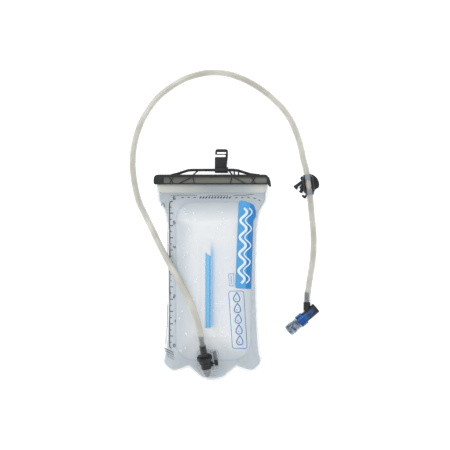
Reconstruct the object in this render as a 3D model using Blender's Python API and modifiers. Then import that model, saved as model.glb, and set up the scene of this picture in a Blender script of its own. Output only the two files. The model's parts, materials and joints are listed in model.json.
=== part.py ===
"""Hydration bladder: a welded film reservoir with a slide seal, a quick-release port, a hose,
a strap clip and a twist-shut bite valve. Metres, +Z up. The bag lies on its back, mouth towards +Y."""

import math

import bmesh
import bpy
import numpy as np
from mathutils import Matrix, Vector

MM = 0.001

# Clearances
GAP = 0.3 * MM  # between pieces that touch
RUN = 0.4 * MM  # between pieces that slide or turn on each other

# Bag of welded film
FILM = 0.6 * MM
HEM = 4.0 * MM  # width of the flat weld round the bag
SEAM_Z = 20.0 * MM
FRONT_RISE = 20.4 * MM  # how far the front panel stands above the seam
BACK_RISE = SEAM_Z - FILM - GAP / 2  # the back panel reaches the ground
MOUTH_Z = SEAM_Z + 4.0 * MM  # the stiff mouth rides a little higher than the seam
MOUTH_GAP = 4.8 * MM
MOUTH_TOP = 129.4 * MM
RAIL_HALF_LENGTH = 80.0 * MM
MOUTH_HALF_WIDTH = RAIL_HALF_LENGTH + 2.8 * MM
SIDE_ROLL = 38.0 * MM
FOOT_ROLL = 58.0 * MM
CORNER_Y = -138.0 * MM
CORNER_HALF_WIDTH = 76.0 * MM
# Half the width of the bag at heights up its side, and where it widens below the mouth
SHOULDER_LOW = MOUTH_TOP / MM - 49.4
SHOULDER_HIGH = MOUTH_TOP / MM - 28.4
SIDE = (
    (-138, 76),
    (-112, 70.8),
    (-75, 68.6),
    (-15, 67),
    (48, 68),
    (SHOULDER_LOW, 72.5),
    (SHOULDER_HIGH, MOUTH_HALF_WIDTH / MM),
    (MOUTH_TOP / MM + 0.6, MOUTH_HALF_WIDTH / MM),
)
# The scalloped foot: distance from the middle, height
FOOT = ((0, -172.8), (14, -170.4), (26, -161), (36, -153.6), (46, -156.8), (58, -160), (69, -153), (76, -138))

# Mouth rails
RAIL_SKIRT = 0.7 * MM
RAIL_SKIRT_END = MOUTH_TOP - 21.8 * MM
RAIL_BEAD = 1.9 * MM
BEAD_START = MOUTH_TOP - 5.2 * MM

# Slide seal
CHANNEL_WALL = 1.2 * MM
SLIDER_RIGHT = RAIL_HALF_LENGTH + 7.6 * MM
SLIDER_LEFT = -SLIDER_RIGHT
SLIDER_LOW = BEAD_START - 4.3 * MM
SLIDER_TOP = MOUTH_TOP + 5.3 * MM
FRAME_PLATE = 1.2 * MM
LIP = 1.2 * MM  # height of the frame's lower lips
WINDOW_LEFT = SLIDER_LEFT + 15.0 * MM
WINDOW_RIGHT = SLIDER_RIGHT - 6.6 * MM
RIB_WIDTH = 1.3 * MM
TAIL_DROP = 3.2 * MM
TAIL_WIDTH = 3.4 * MM
ARCH_RADIUS = 2.1 * MM
ARCH_Y = SLIDER_TOP + 6.8 * MM
STRUT_RADIUS = 1.1 * MM

# Hanger hook
HOOK_LEFT = 3.5 * MM
HOOK_RIGHT = 23.6 * MM
HOOK_LENGTH = 31.3 * MM
SLOT_LOW = 19.5 * MM  # the open slot, from the arch
SLOT_HIGH = 22.6 * MM
CLOSED_SLOT_LOW = 24.4 * MM
CLOSED_SLOT_HIGH = 26.5 * MM
HOOK_THICKNESS = 1.8 * MM
HOOK_LOOP_WALL = 2.0 * MM

# Baffle
BAFFLE_X = -6.5 * MM
BAFFLE_LOW = -93.5 * MM
BAFFLE_HIGH = 18.9 * MM
BAFFLE_FLANGE = 7.7 * MM
BAFFLE_SHEET = 0.8 * MM
QUILL_SLANT = math.radians(38)
DIMPLE_DEPTH = 4.5 * MM
DIMPLE_WIDTH = 15.0 * MM

# Port at the foot of the bag. Its axis leans up out of the bag, towards the mouth.
PORT_MOUTH = Vector((-11.8, -135.5, 45.2)) * MM
PORT_LEAN = math.radians(25.0)
PORT_TURN = math.radians(9.8)
PAD_SLOPE = 0.25  # the film under the port is drawn into a sloping flat
PAD_MIDDLE = Vector((-7.0, -141.0, 27.2)) * MM
PAD_REACH = 26.0 * MM
PAD_WIDTH = 33.8 * MM
PAD_LENGTH = 34.0 * MM
PAD_THICKNESS = 1.4 * MM
OUTLET_RADIUS = 3.6 * MM
OUTLET = Vector((-7.2, -152.5)) * MM
SOCKET_BORE = 5.0 * MM
SOCKET_RADIUS = SOCKET_BORE + 2.9 * MM
COLLAR_RADIUS = SOCKET_RADIUS + 3.4 * MM
COLLAR_LENGTH = 8.0 * MM
FLANGE_TOP = -8.3 * MM  # heights in the socket, down from its mouth
FLANGE_LOW = -10.6 * MM
SEAT_TOP = -13.0 * MM
SEAT_LOW = -14.5 * MM
CHAMBER_LOW = -26.4 * MM
CHAMBER_RADIUS = 4.4 * MM
NECK_RADIUS = 7.5 * MM
NECK_LENGTH = 33.0 * MM
POCKET_WALL = 1.2 * MM
SEAL_WIRE = 0.5 * MM
PLUG_NOSE = 12.5 * MM
PLUG_BORE = 2.2 * MM
PLUG_REACH = 19.0 * MM
PLUG_FLANGE = 6.6 * MM
POPPET_TRAVEL = 2.5 * MM
BUTTON_TRAVEL = 1.8 * MM

# Hose
HOSE_RADIUS = 4.75 * MM
LYING = HOSE_RADIUS + 0.15 * MM  # height of the hose's middle where it lies on the ground
PLUG_BARREL = HOSE_RADIUS + 0.25 * MM
HOSE_STEP = 24.0 * MM
END_LEAD = 3.0 * MM  # a short straight at each end, square to the fitting

# Strap clip
CLIP_TURN = math.radians(8.0)
GRIP_LENGTH = 30.0 * MM
GRIP_WALL = 1.4 * MM
GRIP_BORE = HOSE_RADIUS + GAP + 0.15 * MM
GRIP_OUT = GRIP_BORE + GRIP_WALL
GRIP_WINDOW = GRIP_BORE + 0.2 * MM
PLATE_THICKNESS = 2.6 * MM
PLATE_TOP = -GRIP_OUT - RUN
PLATE_LOW = PLATE_TOP - PLATE_THICKNESS
CLIP_CENTRE = Vector((143.6 * MM, 120.0 * MM, -PLATE_LOW))
STUD_RADIUS = 3.0 * MM

# Bite valve, which lies on the ground on its collar
VALVE_BORE = 6.2 * MM
NOSE_RADIUS = VALVE_BORE + 0.8 * MM
BARREL_RADIUS = NOSE_RADIUS + 0.75 * MM
COLLAR_OUTER = NOSE_RADIUS + 2.7 * MM
VALVE_REAR = Vector((155.6 * MM, -63.9 * MM, COLLAR_OUTER + GAP))
VALVE_TURN = math.radians(220.0)
BARREL_LENGTH = 23.0 * MM
STEM_RADIUS = HOSE_RADIUS + 0.4 * MM
STEM_X = VALVE_REAR.x - 14.4 * MM
STEM_TOP = VALVE_REAR.y + 8.2 * MM
COLLAR_START = 23.4 * MM
COLLAR_END = 34.7 * MM
NOSE_END = COLLAR_END - 2.3 * MM
BULB_RADIUS = 8.85 * MM
NECK_OF_BULB = 8.25 * MM
BITE_START = COLLAR_END + 0.5 * MM
BITE_END = 56.2 * MM
SPOUT_RADIUS = 5.2 * MM
SPOUT_BORE = 2.6 * MM
SPOUT_END = 46.0 * MM
TONGUE_HALF = 4.6 * MM
TONGUE_LENGTH = 20.5 * MM
SEAL_GROOVE = 1.4 * MM  # width of the grooves for the spool's O-rings
REAR_GROOVE = 9.0 * MM
FRONT_GROOVE = 27.0 * MM
SIDE_WAY = 14.0 * MM

PARTS = "hydration_bladder"
ROUND = 28  # sides of a turned piece

for old in list(bpy.data.objects):
    bpy.data.objects.remove(old)
parts = bpy.data.collections.new(PARTS)
cutters = bpy.data.collections.new("cutters")
bpy.context.scene.collection.children.link(parts)
bpy.context.scene.collection.children.link(cutters)


# ---------------------------------------------------------------- making and placing pieces


def finish(name, colour, roughness, alpha=1.0):
    """The piece's own Principled material, from an sRGB colour."""
    material = bpy.data.materials.new(name)
    material.use_nodes = True
    shader = material.node_tree.nodes["Principled BSDF"]
    linear = [((c + 0.055) / 1.055) ** 2.4 if c > 0.04045 else c / 12.92 for c in colour]
    shader.inputs["Base Color"].default_value = (*linear, 1)
    shader.inputs["Roughness"].default_value = roughness
    shader.inputs["Alpha"].default_value = alpha
    return material


BLACK = ((0.17, 0.18, 0.19), 0.45)
CLEAR = ((0.80, 0.84, 0.86), 0.25, 0.5)
SMOKE = ((0.50, 0.51, 0.45), 0.25, 0.7)
BLUE = ((0.04, 0.33, 0.66), 0.3)
STEEL = ((0.75, 0.75, 0.74), 0.25)
SEAL = ((0.10, 0.10, 0.10), 0.7)


def place(obj, frame):
    """Puts an object in a frame (an empty)."""
    obj.parent = frame
    return obj


def keep(obj, look):
    """Makes the object one of the parts."""
    obj.data.materials.clear()
    obj.data.materials.append(finish(obj.name, *look))
    parts.objects.link(obj)
    return obj


def hide(obj):
    """Makes the object a cutter."""
    obj.hide_render = True
    obj.display_type = "WIRE"
    cutters.objects.link(obj)
    return obj


def from_bmesh(name, shape):
    mesh = bpy.data.meshes.new(name)
    bmesh.ops.recalc_face_normals(shape, faces=shape.faces)
    shape.to_mesh(mesh)
    shape.free()
    return bpy.data.objects.new(name, mesh)


def block(name, low, high):
    """A box from its lowest corner to its highest."""
    shape = bmesh.new()
    size = [b - a for a, b in zip(low, high)]
    middle = [(a + b) / 2 for a, b in zip(low, high)]
    bmesh.ops.create_cube(shape, size=1, matrix=Matrix.Translation(middle) @ Matrix.Diagonal((*size, 1)))
    return from_bmesh(name, shape)


def rod(name, radius, start, end, sides=ROUND):
    """A straight round bar between two points."""
    start, end = Vector(start), Vector(end)
    along = end - start
    turn = along.to_track_quat("Z", "Y").to_matrix().to_4x4()
    where = Matrix.Translation((start + end) / 2) @ turn
    shape = bmesh.new()
    bmesh.ops.create_cone(
        shape, cap_ends=True, segments=sides, radius1=radius, radius2=radius, depth=along.length, matrix=where
    )
    return from_bmesh(name, shape)


def turned(name, profile, sides=ROUND):
    """A profile of (radius, height) points, turned about Z. A closed ring repeats its first point."""
    mesh = bpy.data.meshes.new(name)
    mesh.from_pydata([(r, 0, h) for r, h in profile], [(i, i + 1) for i in range(len(profile) - 1)], [])
    obj = bpy.data.objects.new(name, mesh)
    screw = obj.modifiers.new("turn", "SCREW")
    screw.steps = screw.render_steps = sides
    screw.use_merge_vertices = True
    screw.merge_threshold = 1e-6
    screw.use_smooth_shade = True
    return obj


def ring(name, major, minor, height, sides=20, wire=6):
    """An O-ring: a circle of radius minor carried round Z."""
    turns = [2 * math.pi * i / wire for i in range(wire + 1)]
    circle = [(major + minor * math.cos(t), height - minor * math.sin(t)) for t in turns]
    return turned(name, circle, sides)


def flat(name, outlines, thickness):
    """A flat outline with any holes after it, filled and given a thickness about z = 0."""
    curve = bpy.data.curves.new(name, "CURVE")
    curve.dimensions = "2D"
    curve.fill_mode = "BOTH"
    curve.extrude = thickness / 2
    for points in outlines:
        spline = curve.splines.new("POLY")
        spline.points.add(len(points) - 1)
        for point, (x, y) in zip(spline.points, points):
            point.co = (x, y, 0, 1)
        spline.use_cyclic_u = True
    obj = bpy.data.objects.new(name, curve)
    return obj


def tube(name, points, radius, resolution=2):
    """A round wire with filled ends, through the points."""
    curve = bpy.data.curves.new(name, "CURVE")
    curve.dimensions = "3D"
    curve.bevel_depth = radius
    curve.bevel_resolution = resolution
    curve.use_fill_caps = True
    spline = curve.splines.new("POLY")
    spline.points.add(len(points) - 1)
    for point, place_of in zip(spline.points, points):
        point.co = (*place_of, 1)
    return bpy.data.objects.new(name, curve)


def as_mesh(obj):
    """Makes a curve a welded mesh, so that it can be cut or joined."""
    holder = bpy.context.scene.collection
    holder.objects.link(obj)
    bpy.context.view_layer.update()
    evaluated = obj.evaluated_get(bpy.context.evaluated_depsgraph_get())
    mesh = bpy.data.meshes.new_from_object(evaluated)
    where = obj.matrix_world.copy()
    name = obj.name
    bpy.data.objects.remove(obj)
    shape = bmesh.new()
    shape.from_mesh(mesh)
    bmesh.ops.remove_doubles(shape, verts=shape.verts, dist=1e-6)
    bmesh.ops.recalc_face_normals(shape, faces=shape.faces)
    shape.to_mesh(mesh)
    shape.free()
    solid = bpy.data.objects.new(name, mesh)
    solid.matrix_world = where
    return solid


def combine(obj, operation, *others):
    """Cuts the others out of the object, or joins them to it."""
    for other in others:
        hide(other)
        step = obj.modifiers.new(f"{operation.lower()} {other.name}", "BOOLEAN")
        step.operation = operation
        step.object = other
        step.solver = "EXACT"
    return obj


def cut(obj, *others):
    return combine(obj, "DIFFERENCE", *others)


def join(obj, *others):
    return combine(obj, "UNION", *others)


def axis_frame(name, origin, x, y, z):
    """An empty whose axes are the three given directions."""
    frame = bpy.data.objects.new(name, None)
    frame.matrix_world = Matrix.Translation(origin) @ Matrix((x, y, z)).transposed().to_4x4()
    parts.objects.link(frame)
    bpy.context.view_layer.update()
    return frame


def rounded(corners, steps=4):
    """An outline of (x, y, radius) corners, each rounded to its radius by an arc of a few points."""
    points = []
    for i, (x, y, radius) in enumerate(corners):
        here = Vector((x, y))
        before = (Vector(corners[i - 1][:2]) - here).normalized()
        after = (Vector(corners[(i + 1) % len(corners)][:2]) - here).normalized()
        if radius == 0:
            points.append((x, y))
            continue
        half = before.angle(after) / 2
        middle = here + (before + after).normalized() * radius / math.sin(half)
        start = here + before * radius / math.tan(half) - middle
        end = here + after * radius / math.tan(half) - middle
        sweep = start.angle_signed(end)
        for step in range(steps + 1):
            spoke = start.copy()
            spoke.rotate(Matrix.Rotation(-sweep * step / steps, 2))
            points.append(tuple(middle + spoke))
    return points


def through(stations, where):
    """A smooth curve through (position, value) stations that never overshoots them: each slope is the
    harmonic mean of its two sides, and level at a turning point."""
    at = np.array([s[0] for s in stations], float) * MM
    value = np.array([s[1] for s in stations], float) * MM
    side = np.diff(value) / np.diff(at)
    before, after = side[:-1], side[1:]
    same = before * after > 0
    inner = np.where(same, 2 * before * after / np.where(same, before + after, 1), 0)
    slope = np.concatenate([[0 if at[0] == 0 else side[0]], inner, side[-1:]])
    i = np.clip(np.searchsorted(at, where) - 1, 0, len(at) - 2)
    width = at[i + 1] - at[i]
    t = np.clip((where - at[i]) / width, 0, 1)
    h00 = 2 * t**3 - 3 * t**2 + 1
    h10 = t**3 - 2 * t**2 + t
    h01 = 3 * t**2 - 2 * t**3
    h11 = t**3 - t**2
    return h00 * value[i] + h10 * width * slope[i] + h01 * value[i + 1] + h11 * width * slope[i + 1]


def ease(low, high, value):
    """0 below low, 1 above high, and smooth between."""
    t = np.clip((value - low) / (high - low), 0, 1)
    return t * t * (3 - 2 * t)


# ---------------------------------------------------------------- the bag


def bag_plan(u, v):
    """Where the point (u, v) of a panel lies in plan: u runs across from -1 to 1, v up from foot to mouth."""
    foot = through(FOOT, np.abs(u) * CORNER_HALF_WIDTH)
    level = CORNER_Y + (MOUTH_TOP - CORNER_Y) * v
    return u * through(SIDE, level), foot + (MOUTH_TOP - foot) * v


def roll(distance, reach):
    """The rise of the film from its weld: an ellipse that is level after the reach."""
    t = np.clip(distance / reach, 0, 1)
    return (1 - (1 - t) ** 2) ** 0.6


def panel_height(u, v, side):
    """Height of a panel's inner face. side is 1 for the front panel and -1 for the back."""
    x, y = bag_plan(u, v)
    half = through(SIDE, CORNER_Y + (MOUTH_TOP - CORNER_Y) * v)
    foot = through(FOOT, np.abs(u) * CORNER_HALF_WIDTH)
    in_side = (1 - np.abs(u)) * half - HEM
    in_foot = y - foot - HEM
    full = 1 - ease(MOUTH_TOP - 71.4 * MM, MOUTH_TOP - 25.4 * MM, y)
    rise = FRONT_RISE if side > 0 else BACK_RISE
    body = rise * roll(in_side, SIDE_ROLL) * roll(in_foot, FOOT_ROLL) * full
    mouth = (MOUTH_GAP - GAP) / 2 * ease(0, 3 * MM, in_side) * (1 - full)
    if side > 0:
        along = ease(BAFFLE_LOW - 22 * MM, BAFFLE_LOW, y) * (1 - ease(BAFFLE_HIGH, BAFFLE_HIGH + 24 * MM, y))
        across = 1 - ease(BAFFLE_FLANGE / 2 + 1 * MM, DIMPLE_WIDTH + BAFFLE_FLANGE / 2, np.abs(x - BAFFLE_X))
        body = np.minimum(body, FRONT_RISE - DIMPLE_DEPTH * along * across)
    middle = SEAM_Z + (MOUTH_Z - SEAM_Z) * ease(MOUTH_TOP - 59.4 * MM, MOUTH_TOP - 26.4 * MM, y)
    z = middle + side * (GAP / 2 + body + mouth)
    if side > 0:
        near = np.hypot(x - PAD_MIDDLE.x, y - PAD_MIDDLE.y) / PAD_REACH
        flat_pad = PAD_MIDDLE.z + (y - PAD_MIDDLE.y) * PAD_SLOPE
        weight = (1 - ease(1.05, 1.8, near)) * ease(0, 5 * MM, in_foot)
        z = z + (np.minimum(flat_pad, z) - z) * weight
    return z


def film_panel(name, side):
    """A welded panel: a grid laid on the panel's surface, with Solidify for the film."""
    across, up = 22, 28
    shape = bmesh.new()
    bmesh.ops.create_grid(shape, x_segments=across, y_segments=up, size=1)
    for vert in shape.verts:
        u = math.sin(vert.co.x * math.pi / 2)
        v = 1 - math.cos((vert.co.y + 1) * math.pi / 4) ** 1.15
        u, v = np.array(u), np.array(max(0.0, min(1.0, v)))
        x, y = bag_plan(u, v)
        vert.co = (float(x), float(y), float(panel_height(u, v, side)))
    if side < 0:
        bmesh.ops.reverse_faces(shape, faces=shape.faces)
    mesh = bpy.data.meshes.new(name)
    shape.to_mesh(mesh)
    shape.free()
    obj = bpy.data.objects.new(name, mesh)
    wall = obj.modifiers.new("film", "SOLIDIFY")
    wall.thickness = FILM
    wall.offset = 1
    wall.use_rim = True
    return keep(obj, CLEAR)


film_front = film_panel("film_front", 1)
outlet_low = Vector((*OUTLET, SEAM_Z + 1 * MM))
cut(film_front, rod("outlet hole", OUTLET_RADIUS, outlet_low, outlet_low + Vector((0, 0, 12 * MM)), 16))
film_panel("film_back", -1)


def mouth_rail(name, side):
    """A stiff strip outside the film: a thin skirt with rounded lower corners, and a bead along its top."""
    start = MOUTH_GAP / 2 + FILM + GAP
    outline = rounded(
        (
            (-RAIL_HALF_LENGTH, BEAD_START + 1 * MM, 0),
            (-RAIL_HALF_LENGTH, RAIL_SKIRT_END, 6 * MM),
            (RAIL_HALF_LENGTH, RAIL_SKIRT_END, 6 * MM),
            (RAIL_HALF_LENGTH, BEAD_START + 1 * MM, 0),
        )
    )
    skirt = as_mesh(flat(name, [outline], RAIL_SKIRT))
    skirt.location.z = MOUTH_Z + side * (start + RAIL_SKIRT / 2)
    lows = sorted((MOUTH_Z + side * start, MOUTH_Z + side * (start + RAIL_BEAD)))
    bead = block(
        name + " bead",
        (-RAIL_HALF_LENGTH - 0.01 * MM, BEAD_START, lows[0] - (0.01 * MM if side > 0 else 0)),
        (RAIL_HALF_LENGTH + 0.01 * MM, MOUTH_TOP, lows[1] + (0.01 * MM if side < 0 else 0)),
    )
    return keep(join(skirt, bead), CLEAR)


mouth_rail("mouth_rail_front", 1)
mouth_rail("mouth_rail_back", -1)


def baffle():
    """A web with a weld flange along each edge, cut to a quill's slant at its top."""
    top = SEAM_Z + GAP / 2 + FRONT_RISE - DIMPLE_DEPTH - GAP
    bottom = FILM + GAP
    half = BAFFLE_FLANGE / 2
    web = BAFFLE_SHEET / 2
    ends = (BAFFLE_LOW, BAFFLE_HIGH)
    obj = block("baffle", (BAFFLE_X - web, ends[0], bottom + 0.2 * MM), (BAFFLE_X + web, ends[1], top - 0.2 * MM))
    for name, low in (("lower flange", bottom), ("upper flange", top - BAFFLE_SHEET)):
        flange = block(
            name,
            (BAFFLE_X - half, ends[0] - 0.01 * MM, low),
            (BAFFLE_X + half, ends[1] + 0.01 * MM, low + BAFFLE_SHEET),
        )
        join(obj, flange)
    slant = block("quill cut", (-30 * MM, 0, -5 * MM), (30 * MM, 20 * MM, 60 * MM))
    slant.location = (BAFFLE_X - half, BAFFLE_HIGH + 0.5 * MM, 0)
    slant.rotation_euler.z = -QUILL_SLANT
    return keep(cut(obj, slant), BLUE)


baffle()


# ---------------------------------------------------------------- the slide seal

BEAD_OUT = MOUTH_GAP / 2 + FILM + GAP + RAIL_BEAD
SKIRT_OUT = MOUTH_GAP / 2 + FILM + GAP + RAIL_SKIRT
CAVITY = BEAD_OUT + RUN
CHANNEL_OUT = CAVITY + CHANNEL_WALL
FRAME_IN = CHANNEL_OUT + GAP
FRAME_OUT = FRAME_IN + FRAME_PLATE
SLOT = SKIRT_OUT + RUN
CHANNEL_LOW = SLIDER_LOW + LIP + GAP
CHANNEL_HIGH = MOUTH_TOP + RUN + CHANNEL_WALL
CHANNEL_LEFT = SLIDER_LEFT + 3.4 * MM


def slider_channel():
    """A C-shaped profile round the two rails, open downwards to let the film out."""
    inner_top = MOUTH_TOP + RUN
    lip_top = BEAD_START - RUN
    section = [
        (SLOT, CHANNEL_LOW),
        (CHANNEL_OUT, CHANNEL_LOW),
        (CHANNEL_OUT, CHANNEL_HIGH),
        (-CHANNEL_OUT, CHANNEL_HIGH),
        (-CHANNEL_OUT, CHANNEL_LOW),
        (-SLOT, CHANNEL_LOW),
        (-SLOT, lip_top),
        (-CAVITY, lip_top),
        (-CAVITY, inner_top),
        (CAVITY, inner_top),
        (CAVITY, lip_top),
        (SLOT, lip_top),
    ]
    length = WINDOW_RIGHT + 4 * MM - CHANNEL_LEFT
    obj = as_mesh(flat("slider_channel", [section], length))
    turn = Matrix(((0, 0, 1), (0, 1, 0), (-1, 0, 0))).to_4x4()
    obj.matrix_world = Matrix.Translation((CHANNEL_LEFT + length / 2, 0, MOUTH_Z)) @ turn
    return keep(obj, SMOKE)


def rib(name, points):
    """A thin flat rib over the window, along the points."""
    path = [Vector(p) * MM for p in points]
    left, right = [], []
    for i, here in enumerate(path):
        ahead = path[min(i + 1, len(path) - 1)] - path[max(i - 1, 0)]
        aside = Vector((-ahead.y, ahead.x)).normalized() * RIB_WIDTH / 2
        left.append(tuple(here + aside))
        right.append(tuple(here - aside))
    strip = as_mesh(flat(name, [left + right[::-1]], FRAME_PLATE - 0.04 * MM))
    strip.location.z = MOUTH_Z + FRAME_IN + FRAME_PLATE / 2
    return strip


def slider_frame():
    """The black moulding: an outline in plan, hollowed for the channel, with windows, ribs and the arch."""
    outline = rounded(
        (
            (SLIDER_LEFT, SLIDER_LOW, 2.5 * MM),
            (SLIDER_RIGHT - TAIL_WIDTH - 1.5 * MM, SLIDER_LOW, 1 * MM),
            (SLIDER_RIGHT - TAIL_WIDTH + 0.8 * MM, SLIDER_LOW - TAIL_DROP, 0),
            (SLIDER_RIGHT, SLIDER_LOW - TAIL_DROP, 0),
            (SLIDER_RIGHT - 1.2 * MM, SLIDER_LOW + 6 * MM, 6 * MM),
            (SLIDER_RIGHT - 6.5 * MM, SLIDER_TOP, 5 * MM),
            (SLIDER_LEFT, SLIDER_TOP, 6.5 * MM),
        )
    )
    obj = as_mesh(flat("slider_frame", [outline], 2 * FRAME_OUT))
    obj.location.z = MOUTH_Z
    low, high = MOUTH_Z - FRAME_IN, MOUTH_Z + FRAME_IN
    left = CHANNEL_LEFT - GAP
    far = SLIDER_RIGHT + 10 * MM
    room = block("channel room", (left, CHANNEL_LOW - GAP, low), (far, CHANNEL_HIGH + GAP, high))
    slot = block("film slot", (left, SLIDER_LOW - 10 * MM, MOUTH_Z - SLOT), (far, CHANNEL_LOW, MOUTH_Z + SLOT))
    pane_low, pane_high = SLIDER_LOW + LIP + 0.6 * MM, SLIDER_TOP - 4.3 * MM
    front = block("front window", (WINDOW_LEFT, pane_low, high - 1 * MM), (WINDOW_RIGHT, pane_high, high + 9 * MM))
    back = block("back window", (WINDOW_LEFT, pane_low, low - 9 * MM), (WINDOW_RIGHT, pane_high, low + 1 * MM))
    cut(obj, room, slot, front, back)
    top, foot = pane_high / MM + 0.6, pane_low / MM - 0.6
    for side in (-1, 1):
        bow = [(share, top - (top - foot) * drop) for share, drop in ((0, 0), (0.24, 0.28), (0.62, 0.64), (1, 1))]
        join(obj, rib(f"long rib {side}", [(side * (31 + 19 * t), y) for t, y in bow]))
        join(obj, rib(f"lens rib {side}", [(side * (29 - 2.2 * t), top - (top - foot) * t) for t in (0, 1)]))
        for lean in (-1, 1):
            slope = [(side * 61 - lean * 3, top), (side * 61, (top + foot) / 2), (side * 61 + lean * 3, foot)]
            join(obj, rib(f"cross rib {side} {lean}", slope))
    start, end, crest = SLIDER_LEFT / MM + 25.6, SLIDER_RIGHT / MM - 17.6, (ARCH_Y - SLIDER_TOP) / MM
    arch = [(start, -1.2), (-52, 1.1), (-43, 4.2), (-36, crest - 0.5), (-30, crest), (-10, crest), (10, crest)]
    arch += [(32, crest), (39, crest - 0.9), (47, 3.3), (57, 0.3), (end, -1.2)]
    path = [(x * MM, SLIDER_TOP + rise * MM, MOUTH_Z) for x, rise in arch]
    join(obj, as_mesh(tube("arch", path, ARCH_RADIUS, 3)))
    bar, head = SLIDER_TOP - 1.5 * MM, ARCH_Y - 0.9 * MM
    struts = (("left strut", -30, -21.4), ("right strut", 30, 24.9), ("post", 32.6, 32.6), ("end post", 39.5, 38.4))
    for name, foot_x, head_x in struts:
        join(obj, rod(name, STRUT_RADIUS, (foot_x * MM, bar, MOUTH_Z), (head_x * MM, head, MOUTH_Z), 8))
    return keep(obj, BLACK)


slider_channel()
slider_frame()


def hanger_hook():
    """A flat strip with a closed slot and an open one, and a loop round the arch. Its origin is the arch's axis."""
    frame = bpy.data.objects.new("hanger swing", None)
    frame.location = (0, ARCH_Y, MOUTH_Z)
    parts.objects.link(frame)
    left, right = HOOK_LEFT, HOOK_RIGHT
    low = ARCH_RADIUS + RUN + HOOK_LOOP_WALL - 1 * MM
    outline = rounded(
        (
            (left, low, 0.5 * MM),
            (right - 2.4 * MM, low, 0.5 * MM),
            (right - 0.6 * MM, SLOT_LOW - 1 * MM, 4 * MM),
            (right, HOOK_LENGTH, 3.6 * MM),
            (left + 0.8 * MM, HOOK_LENGTH, 3.6 * MM),
            (left + 0.4 * MM, SLOT_HIGH, 1 * MM),
            (left + 16.2 * MM, SLOT_HIGH, 1.2 * MM),
            (left + 16.2 * MM, SLOT_LOW, 1.2 * MM),
            (left, SLOT_LOW, 1.5 * MM),
        ),
        3,
    )
    closed = rounded(
        (
            (left + 3.3 * MM, CLOSED_SLOT_LOW, 0.8 * MM),
            (right - 3.3 * MM, CLOSED_SLOT_LOW, 0.8 * MM),
            (right - 3.3 * MM, CLOSED_SLOT_HIGH, 0.8 * MM),
            (left + 3.3 * MM, CLOSED_SLOT_HIGH, 0.8 * MM),
        ),
        3,
    )
    strip = as_mesh(flat("hanger_hook", [outline, closed], HOOK_THICKNESS))
    inner = ARCH_RADIUS + RUN
    outer = inner + HOOK_LOOP_WALL
    edge = 0.5 * MM
    loop = turned(
        "hook loop",
        [(outer, right - edge), (outer, left - 0.01 * MM), (inner, left - 0.01 * MM), (inner, right - edge)]
        + [(outer, right - edge)],
        20,
    )
    loop.rotation_euler.y = math.pi / 2
    place(loop, frame)
    place(strip, frame)
    return keep(join(strip, loop), BLACK)


hanger_hook()


# ---------------------------------------------------------------- the port

lean, turn = PORT_LEAN, PORT_TURN
PORT_AXIS = Vector((-math.sin(turn) * math.cos(lean), math.cos(turn) * math.cos(lean), math.sin(lean)))
PORT_RIGHT = Vector((math.cos(turn), math.sin(turn), 0))
port = axis_frame("port axis", PORT_MOUTH, PORT_RIGHT, PORT_AXIS.cross(PORT_RIGHT), PORT_AXIS)

POCKET_BORE = NECK_RADIUS + GAP
SEAL_AT = -20.4 * MM
PLUG_SEAL_AT = -7.9 * MM
BUTTON_AT = -14.4 * MM
BOSS_REACH = COLLAR_RADIUS - 0.3 * MM


def port_housing():
    """A sloping foot on the film and a tapered pocket round the socket's neck, with a way through to the bag."""
    outline = rounded(
        (
            (-PAD_WIDTH / 2, -PAD_LENGTH / 2, 7 * MM),
            (PAD_WIDTH / 2, -PAD_LENGTH / 2, 7 * MM),
            (PAD_WIDTH / 2, PAD_LENGTH / 2, 6 * MM),
            (-PAD_WIDTH / 2, PAD_LENGTH / 2, 6 * MM),
        )
    )
    foot = as_mesh(flat("port_housing", [outline], PAD_THICKNESS))
    slope = math.atan(PAD_SLOPE)
    up = Vector((0, -math.sin(slope), math.cos(slope)))
    foot.rotation_euler.x = slope
    foot.location = PAD_MIDDLE + up * (FILM + GAP + PAD_THICKNESS / 2)
    out = POCKET_BORE + POCKET_WALL
    pocket = place(
        turned(
            "pocket",
            [(0, -18.4 * MM), (out, -18.4 * MM), (out, -25.5 * MM), (7.6 * MM, -30.5 * MM)]
            + [(5.6 * MM, -34.5 * MM), (2.6 * MM, -36.8 * MM), (0, -37.2 * MM)],
            24,
        ),
        port,
    )
    under = Vector((*OUTLET, PAD_MIDDLE.z - 3.2 * MM))
    boss = rod("outlet boss", OUTLET_RADIUS + POCKET_WALL, under, under + Vector((0, 0, 8 * MM)), 16)
    trim = block("under the foot", (-40 * MM, -40 * MM, -20 * MM), (40 * MM, 40 * MM, 0))
    trim.rotation_euler.x = slope
    trim.location = PAD_MIDDLE + up * (FILM + GAP + 0.01 * MM)
    deep, high = under - Vector((0, 0, 6 * MM)), under + Vector((0, 0, 9 * MM))
    way = rod("outlet way", OUTLET_RADIUS - 0.6 * MM, deep, high, 16)
    bore = place(
        turned(
            "pocket bore",
            [(0, -10 * MM), (POCKET_BORE, -10 * MM), (POCKET_BORE, -25 * MM)]
            + [(6.4 * MM, -29.5 * MM), (4.3 * MM, -33.8 * MM), (0, -34.6 * MM)],
            24,
        ),
        port,
    )
    join(foot, pocket, boss)
    cut(foot, trim, bore, way)
    return keep(foot, CLEAR)


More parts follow.
